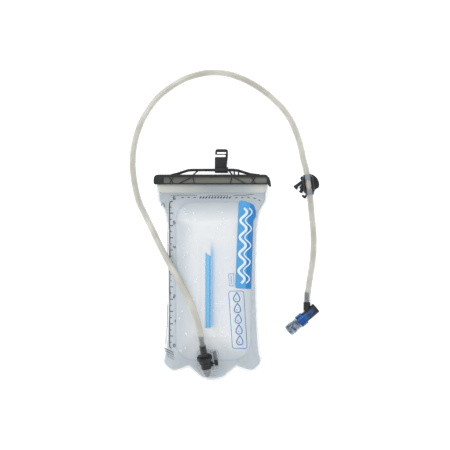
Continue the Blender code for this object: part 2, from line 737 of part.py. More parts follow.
def port_socket():
    """A turned socket: plug bore, valve seat, valve chamber and a tapered neck with a groove for its seal."""
    groove = NECK_RADIUS - 0.9 * MM
    out = SOCKET_RADIUS
    above, below = SEAL_AT + 0.7 * MM, SEAL_AT - 0.7 * MM
    flange = SOCKET_RADIUS + 1.3 * MM
    seat = SOCKET_BORE - 1.6 * MM
    outer = [(out, 0.8 * MM), (out, FLANGE_TOP), (flange, FLANGE_TOP), (flange, FLANGE_LOW)]
    outer += [(NECK_RADIUS, FLANGE_LOW), (NECK_RADIUS, above), (groove, above), (groove, below)]
    outer += [(NECK_RADIUS, below), (NECK_RADIUS, -22 * MM)]
    outer += [(6.0 * MM, -23 * MM), (6.0 * MM, -28.4 * MM), (3.8 * MM, -29.6 * MM), (3.8 * MM, -NECK_LENGTH)]
    inner = [(PLUG_BORE, -NECK_LENGTH), (PLUG_BORE, CHAMBER_LOW - 0.6 * MM), (CHAMBER_RADIUS, CHAMBER_LOW)]
    inner += [(CHAMBER_RADIUS, SEAT_LOW), (seat, SEAT_LOW), (seat, SEAT_TOP), (SOCKET_BORE, SEAT_TOP)]
    inner += [(SOCKET_BORE, 0.8 * MM), (out, 0.8 * MM)]
    obj = place(turned("port_socket", outer + inner), port)
    boss = rod("button boss", 3.7 * MM, (6.2 * MM, 0, BUTTON_AT), (BOSS_REACH, 0, BUTTON_AT), 16)
    well = rod("button well", 2.8 * MM, (7.7 * MM, 0, BUTTON_AT), (BOSS_REACH + 1 * MM, 0, BUTTON_AT), 16)
    place(boss, port)
    place(well, port)
    join(obj, boss)
    cut(obj, well)
    return keep(obj, BLACK)


def port_collar():
    """A ring with finger scallops, a running fit round the socket's mouth."""
    turns = [2 * math.pi * i / 72 for i in range(72)]
    reach = [COLLAR_RADIUS - 0.7 * MM * max(0.0, math.cos(9 * t)) ** 3 for t in turns]
    outline = [(r * math.cos(t), r * math.sin(t)) for r, t in zip(reach, turns)]
    bore = SOCKET_RADIUS + GAP
    hole = [(bore * math.cos(t), bore * math.sin(t)) for t in turns[::2]]
    obj = flat("port_collar", [outline, hole], COLLAR_LENGTH)
    obj.location.z = -COLLAR_LENGTH / 2
    return keep(place(obj, port), BLACK)


def coil(name, radius, wire, start, end, turns, steps=9):
    """An open coil spring about Z, worked out turn by turn."""
    count = int(turns * steps)
    points = []
    for i in range(count + 1):
        angle = 2 * math.pi * i / steps
        height = start + (end - start) * i / count
        points.append((radius * math.cos(angle), radius * math.sin(angle), height))
    return tube(name, points, wire, 1)


port_housing()
port_socket()
port_collar()
keep(place(ring("socket_seal", NECK_RADIUS - 0.25 * MM, SEAL_WIRE, SEAL_AT), port), SEAL)

poppet_top = -PLUG_NOSE - GAP
disc_top = SEAT_LOW - GAP - POPPET_TRAVEL
disc_radius = CHAMBER_RADIUS - 0.4 * MM
keep(
    place(
        turned(
            "check_valve_poppet",
            [(0, poppet_top), (1.4 * MM, poppet_top), (1.4 * MM, disc_top), (disc_radius, disc_top)]
            + [(disc_radius, disc_top - 1.4 * MM), (1.0 * MM, disc_top - 1.4 * MM)]
            + [(1.0 * MM, disc_top - 4 * MM), (0, disc_top - 4 * MM)],
            24,
        ),
        port,
    ),
    CLEAR,
)
spring_top = disc_top - 1.4 * MM - GAP - 0.35 * MM
keep(place(coil("valve_spring", 3.0 * MM, 0.35 * MM, CHAMBER_LOW + 0.7 * MM, spring_top, 3.5), port), STEEL)


def release_button():
    """A long thumb bar beside the collar, with a foot and a pin that runs in the socket's boss."""
    inner = BOSS_REACH + BUTTON_TRAVEL + GAP
    bar = block("release_button", (inner, -4.2 * MM, -17 * MM), (inner + 5.3 * MM, 4.2 * MM, 4.6 * MM))
    soften = bar.modifiers.new("edges", "BEVEL")
    soften.width = 1.4 * MM
    soften.segments = 3
    pin = rod("button pin", 1.3 * MM, (inner - 3.0 * MM, 0, BUTTON_AT), (inner + 1 * MM, 0, BUTTON_AT), 12)
    place(bar, port)
    place(pin, port)
    return keep(join(bar, pin), BLACK)


release_button()
button_coil = coil("button_spring", 2.1 * MM, 0.3 * MM, 8.3 * MM, 12.5 * MM, 2.5)
button_coil.rotation_euler.y = math.pi / 2
button_coil.location.z = BUTTON_AT
keep(place(button_coil, port), STEEL)


def hose_plug():
    """The plug: nose with its O-ring groove, a shoulder above the socket, and a barrel up to the hose."""
    nose = SOCKET_BORE - GAP
    groove = nose - 1.0 * MM
    above, below = PLUG_SEAL_AT + 0.7 * MM, PLUG_SEAL_AT - 0.7 * MM
    profile = [(PLUG_BORE, PLUG_REACH), (PLUG_BARREL - 0.6 * MM, PLUG_REACH), (PLUG_BARREL, PLUG_REACH - 0.8 * MM)]
    profile += [(PLUG_BARREL, 3.6 * MM), (PLUG_FLANGE, 3.2 * MM), (PLUG_FLANGE, 1.2 * MM), (nose, 1.2 * MM)]
    profile += [(nose, above), (groove, above), (groove, below), (nose, below)]
    profile += [(nose, 0.7 * MM - PLUG_NOSE), (nose - 0.7 * MM, -PLUG_NOSE), (PLUG_BORE, -PLUG_NOSE)]
    profile += [(PLUG_BORE, PLUG_REACH)]
    return keep(place(turned("hose_plug", profile), port), BLACK)


hose_plug()
keep(place(ring("plug_oring", SOCKET_BORE - 0.7 * MM, SEAL_WIRE, PLUG_SEAL_AT), port), SEAL)


# ---------------------------------------------------------------- the hose

# The middle of the hose, from the plug over the bag's left edge, round on the ground, through the clip
# and back to the valve's stem. Millimetres.
lying, held, barbed = LYING / MM, CLIP_CENTRE.z / MM, VALVE_REAR.z / MM - 0.1
ROUTE = (
    (-17.8, -101, 57.2),
    (-23, -80, 58.6),
    (-31, -58, 54.5),
    (-41, -38, 48.5),
    (-52, -18, 42),
    (-64, 2, 33.5),
    (-77, 26, 22),
    (-91, 55, 10.5),
    (-102, 77, 5.8),
    (-111, 97, lying),
    (-118, 130, lying),
    (-119.5, 161, lying),
    (-114.5, 192, lying),
    (-103, 221, lying),
    (-83, 249.5, lying),
    (-57, 270, lying),
    (-31, 282.5, lying),
    (-1, 288, lying),
    (29, 284.5, lying),
    (62, 270, lying),
    (92, 247.5, lying),
    (115, 220.5, lying),
    (129, 188, lying),
    (136, 158, 7.4),
    (141.5, 135, held),
    (145.7, 105, held),
    (148.2, 78, 7.0),
    (151, 52, lying),
    (151.4, 27, lying),
    (150, 6, 5.4),
    (146.2, -18, 8.0),
    (142.8, -40, barbed),
)
hose_start = PORT_MOUTH + PORT_AXIS * (PLUG_REACH + GAP)
hose_end = Vector((STEM_X, STEM_TOP + GAP, VALVE_REAR.z))
route = [hose_start] + [Vector(p) * MM for p in ROUTE] + [hose_end]


def smooth_path(points, step, first, last):
    """Points about one step apart on a smooth curve through the given ones, with its two end directions set."""
    aim = [(b - a) / 2 for a, b in zip(points[:-2], points[2:])]
    aim = [first.normalized() * (points[1] - points[0]).length] + aim
    aim += [last.normalized() * (points[-1] - points[-2]).length]
    fine = []
    for i in range(len(points) - 1):
        for k in range(12):
            t = k / 12
            h = (2 * t**3 - 3 * t**2 + 1, t**3 - 2 * t**2 + t, 3 * t**2 - 2 * t**3, t**3 - t**2)
            fine.append(points[i] * h[0] + aim[i] * h[1] + points[i + 1] * h[2] + aim[i + 1] * h[3])
    fine.append(points[-1])
    far = np.concatenate([[0], np.cumsum([(b - a).length for a, b in zip(fine, fine[1:])])])
    count = round(far[-1] / step)
    marks = np.linspace(0, far[-1], count + 1)
    marks = np.concatenate([[0, END_LEAD], marks[1:-1], [far[-1] - END_LEAD, far[-1]]])
    return [Vector([np.interp(m, far, [p[k] for p in fine]) for k in range(3)]) for m in marks]


hose_points = smooth_path(route, HOSE_STEP, PORT_AXIS, Vector((0, -1, 0)))
keep(tube("hose", hose_points, HOSE_RADIUS, 2), CLEAR)


# ---------------------------------------------------------------- the strap clip

along_clip = Vector((math.sin(CLIP_TURN), -math.cos(CLIP_TURN), 0))
clip = axis_frame("clip pivot", CLIP_CENTRE, -along_clip.cross(Vector((0, 0, 1))), -along_clip, Vector((0, 0, 1)))


def clip_grip():
    """A sleeve along the hose with an oval window on its upper side, and the stud that the plate turns on."""
    half = GRIP_LENGTH / 2
    sleeve = turned(
        "clip_grip",
        [(GRIP_OUT, half), (GRIP_OUT, -half), (GRIP_BORE, -half), (GRIP_BORE, half), (GRIP_OUT, half)],
        28,
    )
    sleeve.rotation_euler.x = math.pi / 2
    window = turned("grip window", [(0, 12 * MM), (GRIP_WINDOW, 12 * MM), (GRIP_WINDOW, 0), (0, 0)], 24)
    window.scale = (1, 1.48, 1)
    stud = rod("grip stud", STUD_RADIUS, (0, 0, PLATE_LOW + 0.3 * MM), (0, 0, -GRIP_BORE - 0.3 * MM), 20)
    for piece in (sleeve, window, stud):
        place(piece, clip)
    return keep(cut(join(sleeve, stud), window), BLACK)


def clip_plate():
    """A flat plate with a round thumb fan on one side and three strap prongs on the other."""
    fan = [(16.4 * math.cos(a), 16.4 * math.sin(a)) for a in np.radians(np.linspace(88, -22, 12))]
    prongs = [
        (7.5, -9.6),
        (6.5, -15.5),
        (1.5, -16.2),
        (-3.2, -15.6),
        (-7.2, -19.8),
        (-9.4, -19.4),
        (-12.6, -15.2),
        (-10.4, -13.6),
        (-7.6, -15.6),
        (-5.4, -14.2),
        (-5.6, -11.4),
        (-8.4, -8.4),
        (-11.2, -11.2),
        (-13.2, -10.8),
        (-15.4, -8.2),
        (-12.8, -5.4),
        (-13.8, -2.4),
        (-11.4, 0.2),
        (-9.4, 1.8),
        (-15.2, -0.8),
        (-16.2, -3.0),
        (-18.0, -5.4),
        (-20.0, -3.6),
        (-22.6, 0.4),
        (-21.0, 1.6),
        (-9.4, 7.6),
        (-10.8, 11.2),
        (-8.8, 13.6),
        (-5.6, 13.4),
        (-1.5, 15.4),
    ]
    outline = [(x * MM, y * MM) for x, y in fan + prongs]
    hole = STUD_RADIUS + RUN
    turns = np.linspace(0, 2 * math.pi, 21)[:-1]
    pivot = [(hole * math.cos(t), hole * math.sin(t)) for t in turns]
    plate = flat("clip_plate", [outline, pivot], PLATE_THICKNESS)
    plate.location.z = (PLATE_TOP + PLATE_LOW) / 2
    return keep(place(plate, clip), BLACK)


clip_grip()
clip_plate()


# ---------------------------------------------------------------- the bite valve

valve_axis = Vector((math.cos(VALVE_TURN), math.sin(VALVE_TURN), 0))
valve = axis_frame("valve axis", VALVE_REAR, Vector((0, 0, 1)), valve_axis.cross(Vector((0, 0, 1))), valve_axis)
SPOOL_RADIUS = VALVE_BORE - GAP
GROOVE_RADIUS = SPOOL_RADIUS - 1.0 * MM
COLLAR_FRONT = 4.4 * MM  # the hole in the collar's front


def valve_elbow():
    """A barrel closed at its rear, a thinner nose for the collar to turn on, and the hose stem at a slant."""
    barrel = turned(
        "valve_elbow",
        [(0, NOSE_END), (NOSE_RADIUS, NOSE_END), (NOSE_RADIUS, BARREL_LENGTH), (BARREL_RADIUS, BARREL_LENGTH)]
        + [(BARREL_RADIUS, 1 * MM), (BARREL_RADIUS - 1 * MM, 0), (0, 0)],
    )
    stem_foot = (STEM_X, STEM_TOP - 14.5 * MM, VALVE_REAR.z)
    stem = rod("stem", STEM_RADIUS, stem_foot, (STEM_X, STEM_TOP, VALVE_REAR.z), 24)
    water = rod("stem bore", PLUG_BORE, (STEM_X, STEM_TOP - 15.4 * MM, VALVE_REAR.z), (STEM_X, 0, VALVE_REAR.z), 16)
    core = rod("barrel bore", VALVE_BORE, (0, 0, 2 * MM), (0, 0, NOSE_END + 5 * MM))
    place(barrel, valve)
    place(core, valve)
    return keep(cut(join(barrel, stem), core, water), BLACK)


def valve_collar():
    """A turned ring over the elbow's nose, with a pointed tongue that runs back along the barrel."""
    bore = NOSE_RADIUS + RUN
    front = COLLAR_FRONT
    body = turned(
        "valve_collar",
        [(front, COLLAR_END), (COLLAR_OUTER - 0.6 * MM, COLLAR_END), (COLLAR_OUTER, COLLAR_END - 0.8 * MM)]
        + [(COLLAR_OUTER, COLLAR_START), (bore, COLLAR_START), (bore, NOSE_END + 1 * MM)]
        + [(front, NOSE_END + 1 * MM), (front, COLLAR_END)],
    )
    out = COLLAR_OUTER - 0.1 * MM
    start = BARREL_RADIUS + RUN
    half, reach = TONGUE_HALF / MM, TONGUE_LENGTH / MM
    waist, narrow = -0.55 * reach, 0.8 * half
    corners = ((0, half, 0), (0, -half, 0), (waist, -narrow, 3), (-reach, 0, 0.6), (waist, narrow, 3))
    tongue = as_mesh(flat("tongue", [rounded(corners, 3)], (out - start) / MM))
    tongue.data.transform(Matrix.Scale(MM, 4))
    stand = Matrix(((0, 0, 1), (0, 1, 0), (1, 0, 0))).to_4x4()
    tongue.data.transform(Matrix.Translation(((out + start) / 2, 0, COLLAR_START + 1 * MM)) @ stand)
    tongue.data.flip_normals()
    place(body, valve)
    place(tongue, valve)
    return keep(join(body, tongue), BLUE)


def valve_spool():
    """A hollow core with two O-ring grooves, a side way for the water, and the spout under the bite piece."""
    front, out, groove, spout = COLLAR_FRONT - GAP, SPOOL_RADIUS, GROOVE_RADIUS, SPOUT_RADIUS
    shoulder = NOSE_END + 0.6 * MM
    profile = [(0, 5 * MM), (SPOUT_BORE, 5 * MM), (SPOUT_BORE, SPOUT_END), (spout - 0.8 * MM, SPOUT_END)]
    profile += [(spout, SPOUT_END - 1 * MM), (spout, BITE_START), (front, BITE_START)]
    profile += [(front, shoulder), (out, shoulder)]
    for start in (FRONT_GROOVE, REAR_GROOVE):
        end = start + SEAL_GROOVE
        profile += [(out, end), (groove, end), (groove, start), (out, start)]
    profile += [(out, 3 * MM), (0, 3 * MM)]
    spool = turned("valve_spool", profile)
    side_way = rod("side way", PLUG_BORE, (0, 1 * MM, SIDE_WAY), (0, out + 2 * MM, SIDE_WAY), 12)
    place(spool, valve)
    place(side_way, valve)
    return keep(cut(spool, side_way), SMOKE)


def bite_piece():
    """A silicone cup stretched over the spout: narrow neck, round bulb and a thin end that holds the slit."""
    bore, neck, bulb = SPOUT_RADIUS + GAP, NECK_OF_BULB, BULB_RADIUS
    inside = [(0, -2.4), (bore / MM - 0.6, -3.0), (bore / MM, -5.4)]
    outside = [(bulb / MM, -12.2), (bulb / MM, -3.6), (bulb / MM - 0.75, -1.6), (5.8, -0.4), (0, 0)]
    profile = [(r * MM, BITE_END + back * MM) for r, back in inside]
    profile += [(bore, BITE_START), (neck, BITE_START), (neck, BITE_START + 5.8 * MM)]
    profile += [(neck - 0.55 * MM, BITE_START + 6.6 * MM), (neck - 0.25 * MM, BITE_START + 7.4 * MM)]
    profile += [(r * MM, BITE_END + back * MM) for r, back in outside]
    return keep(place(turned("bite_piece", profile[::-1], 28), valve), CLEAR)


valve_elbow()
valve_collar()
valve_spool()
for name, groove_start in (("spool_oring_rear", REAR_GROOVE), ("spool_oring_front", FRONT_GROOVE)):
    seal = ring(name, VALVE_BORE - 0.7 * MM, SEAL_WIRE, groove_start + SEAL_GROOVE / 2)
    keep(place(seal, valve), SEAL)
bite_piece()
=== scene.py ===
"""Hydration bladder: the looks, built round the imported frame. Metres, +Z up. The bag lies on its back."""

import json
import math

import bmesh
import bpy
import numpy as np
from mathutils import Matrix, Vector


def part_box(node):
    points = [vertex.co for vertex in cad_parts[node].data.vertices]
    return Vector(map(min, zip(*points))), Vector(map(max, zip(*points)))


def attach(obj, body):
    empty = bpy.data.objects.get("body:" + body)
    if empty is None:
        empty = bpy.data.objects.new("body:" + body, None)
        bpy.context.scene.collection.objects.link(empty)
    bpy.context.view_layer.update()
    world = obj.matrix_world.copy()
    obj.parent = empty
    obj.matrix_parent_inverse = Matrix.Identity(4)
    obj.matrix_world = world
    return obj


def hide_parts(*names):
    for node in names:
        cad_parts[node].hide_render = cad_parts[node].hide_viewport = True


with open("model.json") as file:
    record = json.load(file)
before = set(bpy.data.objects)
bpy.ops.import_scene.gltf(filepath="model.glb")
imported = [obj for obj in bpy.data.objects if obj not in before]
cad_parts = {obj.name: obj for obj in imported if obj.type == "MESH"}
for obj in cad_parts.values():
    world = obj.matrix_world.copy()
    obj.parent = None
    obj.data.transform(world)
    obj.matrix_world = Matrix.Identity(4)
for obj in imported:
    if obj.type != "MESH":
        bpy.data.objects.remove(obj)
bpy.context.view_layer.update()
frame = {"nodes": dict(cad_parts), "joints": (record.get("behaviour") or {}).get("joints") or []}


# ---------------------------------------------------------------- studio
# A pale matt floor in soft overcast light, seen straight from above through a long lens. The floor glows
# a little of its own, as a lit table does, so that only faint contact shadows are left on it.

MM = 0.001
LOOK_AT = Vector((18.75, 59.55, 0)) * MM
VIEW_WIDTH = 675 * MM
CAMERA_HEIGHT = 4.0
SENSOR = 36.0  # millimetres, as Blender counts a lens


def linear(code):
    """sRGB hex to linear light: a channel c is ((c + 0.055) / 1.055) ** 2.4, or c / 12.92 where it is dark."""
    channels = [int(code[i : i + 2], 16) / 255 for i in (0, 2, 4)]
    return (*(((c + 0.055) / 1.055) ** 2.4 if c > 0.04045 else c / 12.92 for c in channels), 1.0)


def add(tree, kind, inputs=None, stops=(), **settings):
    """Adds a node with its settings, gives each named input a value or the socket that feeds it, and gives a
    colour ramp its stops, each a position and a colour, in order."""
    node = tree.nodes.new(kind)
    for name, value in settings.items():
        setattr(node, name, value)
    for name, value in (inputs or {}).items():
        if isinstance(value, bpy.types.NodeSocket):
            tree.links.new(value, node.inputs[name])
        else:
            node.inputs[name].default_value = value
    if stops:
        ramp = node.color_ramp.elements
        ramp[0].position, ramp[-1].position = stops[0][0], stops[-1][0]
        for position, _ in stops[1:-1]:
            ramp.new(position)
        for stop, (_, code) in zip(ramp, stops):
            stop.color = linear(code)
    return node


def new_finish(name, **values):
    """A Principled material with the given socket values, and its node tree and shader."""
    material = bpy.data.materials.new(name)
    material.use_nodes = True
    shader = material.node_tree.nodes["Principled BSDF"]
    for socket, value in values.items():
        shader.inputs[socket.replace("_", " ")].default_value = value
    return material, material.node_tree, shader


scene = bpy.context.scene
scene.view_settings.view_transform = "Standard"
scene.cycles.transparent_max_bounces = 24  # film, hose and clear mouldings lie over each other

camera_data = bpy.data.cameras.new("plan camera")
camera_data.lens = SENSOR * CAMERA_HEIGHT / VIEW_WIDTH
camera_data.sensor_width = SENSOR
camera = bpy.data.objects.new("plan camera", camera_data)
camera.location = LOOK_AT + Vector((0, 0, CAMERA_HEIGHT))
scene.collection.objects.link(camera)
scene.camera = camera

world = bpy.data.worlds.new("overcast studio")
world.use_nodes = True
world.node_tree.nodes["Background"].inputs["Color"].default_value = linear("fbfdff")
world.node_tree.nodes["Background"].inputs["Strength"].default_value = 0.95
scene.world = world

for name, place, size, power in (
    ("window softbox", (-0.62, 0.85, 1.45), 0.7, 8.0),
    ("fill softbox", (0.9, -0.35, 1.4), 0.8, 1.5),
):
    lamp = bpy.data.lights.new(name, "AREA")
    lamp.size = size
    lamp.energy = power
    light = bpy.data.objects.new(name, lamp)
    light.location = place
    light.rotation_euler = (LOOK_AT - Vector(place)).to_track_quat("-Z", "Y").to_euler()
    light.visible_camera = False
    scene.collection.objects.link(light)

FLOOR_HALF = 8.0
FLOOR_DROP = 0.2 * MM  # keeps the floor clear of the bag's back
floor_mesh = bpy.data.meshes.new("floor")
corners = [(x * FLOOR_HALF, y * FLOOR_HALF, -FLOOR_DROP) for x, y in ((-1, -1), (1, -1), (1, 1), (-1, 1))]
floor_mesh.from_pydata(corners, [], [(0, 1, 2, 3)])
floor = bpy.data.objects.new("floor", floor_mesh)
floor_finish, _, floor_shader = new_finish("matt white table", Base_Color=linear("f4f4f4"), Roughness=0.9)
floor_shader.inputs["Specular IOR Level"].default_value = 0.0
floor_shader.inputs["Emission Color"].default_value = linear("ffffff")
floor_shader.inputs["Emission Strength"].default_value = 0.5
floor_mesh.materials.append(floor_finish)
scene.collection.objects.link(floor)


# ---------------------------------------------------------------- hose
# A soft extruded hose, 9.5 mm outside and 6.4 mm bore, milky and slightly smoked, pushed over a barb at each
# end. It leaves the port, crosses the bag's edge and lies on the ground in one open loop round the bag.

HOSE_RADIUS = 4.75 * MM
HOSE_BORE = 3.2 * MM
HOSE_STEP = 1.5 * MM
BARB_LENGTH = 15 * MM
PORT_AXIS = np.array(next(j["axis"] for j in frame["joints"] if j["name"] == "plug_pull"))
VALVE_AXIS = -np.array(next(j["axis"] for j in frame["joints"] if j["name"] == "valve_twist"))
SEAL_DEPTH = 20.4 * MM  # the socket's seal lies this far below the port's mouth
PLUG_REACH = 19.0 * MM
FACE_GAP = 0.3 * MM
UP = np.array((0.0, 0.0, 1.0))
STEM_AXIS = np.array((0.0, 1.0, 0.0))
STEM_MIDDLE = np.array((141.2, -55.7, 10.0)) * MM

# The route of the hose's middle, in millimetres, between its two fittings
ROUTE = (
    (-17.8, -101, 57.2),
    (-23, -80, 58.6),
    (-31, -58, 54.5),
    (-41, -38, 48.5),
    (-52, -18, 42),
    (-64, 2, 33.5),
    (-77, 26, 22),
    (-91, 55, 10.5),
    (-102, 77, 5.8),
    (-111, 97, 4.9),
    (-118, 130, 4.9),
    (-119.5, 161, 4.9),
    (-114.5, 192, 4.9),
    (-103, 221, 4.9),
    (-83, 249.5, 4.9),
    (-57, 270, 4.9),
    (-31, 282.5, 4.9),
    (-1, 288, 4.9),
    (29, 284.5, 4.9),
    (62, 270, 4.9),
    (92, 247.5, 4.9),
    (115, 220.5, 4.9),
    (129, 188, 4.9),
    (136, 158, 7.4),
    (141.5, 135, 9.6),
    (145.7, 105, 9.6),
    (148.2, 78, 7.0),
    (151, 52, 4.9),
    (151.4, 27, 4.9),
    (150, 6, 5.4),
    (146.2, -18, 8.0),
    (142.8, -40, 9.9),
)


def middle(node):
    """The middle of a CAD node's box."""
    low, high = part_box(node)
    return np.array((low + high) / 2)


def unit(v):
    """Vectors of length one."""
    return v / np.linalg.norm(v, axis=-1, keepdims=True)


def smooth_line(points, first, last, step):
    """Points a step apart on a cubic through the given ones: an inner slope is half the line between the two
    neighbours, and each end slope has the length of its own first or last run."""
    run = np.linalg.norm(np.diff(points, axis=0), axis=1)
    slope = np.concatenate([[first * run[0]], (points[2:] - points[:-2]) / 2, [last * run[-1]]])
    t = np.linspace(0, 1, 40, endpoint=False)[None, :, None]
    a, b = points[:-1, None], points[1:, None]
    fine = a * (2 * t**3 - 3 * t**2 + 1) + slope[:-1, None] * (t**3 - 2 * t**2 + t)
    fine = fine + b * (3 * t**2 - 2 * t**3) + slope[1:, None] * (t**3 - t**2)
    fine = np.concatenate([fine.reshape(-1, 3), points[-1:]])
    far = np.concatenate([[0], np.cumsum(np.linalg.norm(np.diff(fine, axis=0), axis=1))])
    mark = np.linspace(0, far[-1], round(far[-1] / step) + 1)
    return np.stack([np.interp(mark, far, fine[:, k]) for k in range(3)], 1)


def grid_part(points, wrap_rows=False, wrap_columns=False):
    """A grid of points, rows by columns, as (points, quads). wrap joins its last row or column to its first."""
    rows, columns = points.shape[:2]
    i = np.arange(rows if wrap_rows else rows - 1)[:, None]
    j = np.arange(columns if wrap_columns else columns - 1)[None, :]
    below, beside = (i + 1) % rows, (j + 1) % columns
    quads = np.stack([i * columns + j, below * columns + j, below * columns + beside, i * columns + beside], -1)
    return points.reshape(-1, 3), quads.reshape(-1, 4)


def volume_of(part):
    """Six times the volume inside a part's faces: positive when they point out."""
    points, quads = part
    a, b, c, d = (points[quads[:, k]] for k in range(4))
    return float(np.sum(np.cross(a, b) * c) + np.sum(np.cross(a, c) * d))


def piece(name, parts, finish, closed=True, sharp=None):
    """One mesh object of several grid parts. Doubled points at poles are merged, and a closed part that
    would be inside out is turned round."""
    points, faces, count = [], [], 0
    for part in parts:
        quads = part[1]
        if closed and volume_of(part) < 0:
            quads = quads[:, ::-1]
        points.append(part[0])
        faces.append(quads + count)
        count += len(part[0])
    mesh = bpy.data.meshes.new(name)
    mesh.from_pydata(np.concatenate(points), [], np.concatenate(faces))
    shape = bmesh.new()
    shape.from_mesh(mesh)
    bmesh.ops.remove_doubles(shape, verts=shape.verts, dist=2e-6)
    shape.to_mesh(mesh)
    shape.free()
    mesh.shade_smooth()
    if sharp is not None:
        mesh.set_sharp_from_angle(angle=math.radians(sharp))
    mesh.materials.append(finish)
    obj = bpy.data.objects.new(name, mesh)
    scene.collection.objects.link(obj)
    return obj


def rings(centre, aside, up, radius, sides=48, wrap=False):
    """Circles one after another: each has its centre, its radius, or a radius for each of its points, and
    the two directions of its plane."""
    turn = np.linspace(0, 2 * np.pi, sides, endpoint=False)[None, :, None]
    spoke = np.cos(turn) * aside[:, None] + np.sin(turn) * up[:, None]
    reach = np.reshape(radius, (len(centre), -1, 1))
    return grid_part(centre[:, None] + reach * spoke, wrap, True)


def walls_along(line):
    """The line with the sideways and upward directions of a pipe laid along it."""
    ahead = unit(np.gradient(line, axis=0))
    aside = unit(np.cross(ahead, UP))
    return line, aside, unit(np.cross(aside, ahead))


port_mouth = middle("socket_seal") + PORT_AXIS * SEAL_DEPTH
hose_start = port_mouth + PORT_AXIS * (PLUG_REACH + FACE_GAP)
hose_end = STEM_MIDDLE + FACE_GAP * STEM_AXIS
route = np.concatenate([[hose_start], np.array(ROUTE) * MM, [hose_end]])
hose_line = smooth_line(route, PORT_AXIS, -STEM_AXIS, HOSE_STEP)
hose_far = np.concatenate([[0], np.cumsum(np.linalg.norm(np.diff(hose_line, axis=0), axis=1))])
HOSE_LENGTH = float(hose_far[-1])


RUNG_PITCH = 3.6 * MM
FIRST_RUNG = 2.7 * MM


def hose_swell(far):
    """How far the hose is stretched: by its barb at each end, fading just past it, and by the rungs of the
    valve's barb, each of which shows as a low ring."""
    from_end = np.minimum(far, HOSE_LENGTH - far)
    over_barb = 1 / (1 + np.exp((from_end - BARB_LENGTH) / (1.2 * MM)))
    rungs = 0.5 + 0.5 * np.cos(2 * np.pi * (from_end - FIRST_RUNG) / RUNG_PITCH)
    return (0.3 + 0.45 * rungs * (far > HOSE_LENGTH / 2)) * MM * over_barb


centre, aside, up = walls_along(hose_line)
swell = hose_swell(hose_far)
loop = np.concatenate([np.arange(len(centre)), np.arange(len(centre))[::-1]])
wall = np.concatenate([HOSE_RADIUS + swell, HOSE_BORE + swell[::-1]])

hose_finish, tree, shader = new_finish("smoked soft hose, extruded", Roughness=0.22, IOR=1.5)
# Extruded flexible hose: a milky brown grey with slow clouds along it and a wet-looking skin, clearer where
# a barb stretches it
thin = add(tree, "ShaderNodeAttribute", attribute_name="stretched")
body = add(tree, "ShaderNodeMapRange", {"Value": thin.outputs["Fac"], "To Min": 0.66, "To Max": 0.3})
tree.links.new(body.outputs["Result"], shader.inputs["Alpha"])
shader.inputs["Coat Weight"].default_value = 0.35
shader.inputs["Coat Roughness"].default_value = 0.12
where = add(tree, "ShaderNodeTexCoord").outputs["Object"]
cloud = add(tree, "ShaderNodeTexNoise", {"Vector": where, "Scale": 28.0, "Detail": 3.0})
milk = ((0.35, "bfbcb0"), (0.68, "d8d6cc"))
tint = add(tree, "ShaderNodeValToRGB", {"Fac": cloud.outputs["Fac"]}, milk)
cool = add(tree, "ShaderNodeMath", {0: thin.outputs["Fac"], 1: 0.75}, operation="MULTIPLY")
mixed = {"Factor": cool.outputs[0], 6: tint.outputs["Color"], 7: linear("8f979c")}
both = add(tree, "ShaderNodeMix", mixed, data_type="RGBA")
tree.links.new(both.outputs[2], shader.inputs["Base Color"])
grain = add(tree, "ShaderNodeTexNoise", {"Vector": where, "Scale": 900.0, "Detail": 2.0})
bump = add(tree, "ShaderNodeBump", {"Height": grain.outputs["Fac"], "Strength": 0.08, "Distance": 0.0001})
tree.links.new(bump.outputs["Normal"], shader.inputs["Normal"])

skin = rings(centre[loop], aside[loop], up[loop], wall, 32, wrap=True)
hose = piece("drinking_hose", [skin], hose_finish, sharp=60)
places = np.empty(3 * len(hose.data.vertices))
hose.data.vertices.foreach_get("co", places)
places = places.reshape(-1, 3)
from_fitting = np.minimum(*(np.linalg.norm(places - end, axis=1) for end in (hose_start, hose_end)))
over_barb = 1 / (1 + np.exp((from_fitting - BARB_LENGTH) / (0.8 * MM)))
stretched = hose.data.attributes.new("stretched", "FLOAT", "POINT")
stretched.data.foreach_set("value", over_barb.astype(np.float32))
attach(hose, "hose_line")
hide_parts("hose")


# ---------------------------------------------------------------- quick-release plug
# A turned black plug: a nose in the socket, a flange over its mouth, a ribbed neck and a barb inside the
# hose. Moulded in glass-filled nylon, so it has a fine satin grain.


def soften(profile, radius, steps=4, closed=True):
    """Rounds a profile's corners, each by a quadratic curve that starts and ends at most radius from it."""
    corner = np.array(profile, float) * MM
    back, ahead = np.roll(corner, 1, 0) - corner, np.roll(corner, -1, 0) - corner
    reach = 0.45 * np.minimum(np.linalg.norm(back, axis=1), np.linalg.norm(ahead, axis=1))
    reach = np.minimum(reach, radius)
    if not closed:
        reach[[0, -1]] = 0
    reach = np.maximum(reach, 1e-9)[:, None]
    t = np.linspace(0, 1, steps + 1)[None, :, None]
    start = corner + unit(back + 1e-12) * reach
    end = corner + unit(ahead + 1e-12) * reach
    curve = start[:, None] * (1 - t) ** 2 + corner[:, None] * 2 * t * (1 - t) + end[:, None] * t**2
    return curve.reshape(-1, 2)


def turned(profile, origin, axis, radius=0.4 * MM, closed=True, sides=64, steps=4):
    """A surface of revolution: a profile of (radius, height) in millimetres, its corners rounded, about an
    axis through the origin."""
    line = soften(profile, radius, steps, closed)
    aside = unit(np.cross(UP, axis))
    up = np.cross(axis, aside)
    centre = origin + line[:, 1:2] * axis
    ones = np.ones((len(line), 1))
    return rings(centre, ones * aside, ones * up, line[:, 0], sides, wrap=closed)


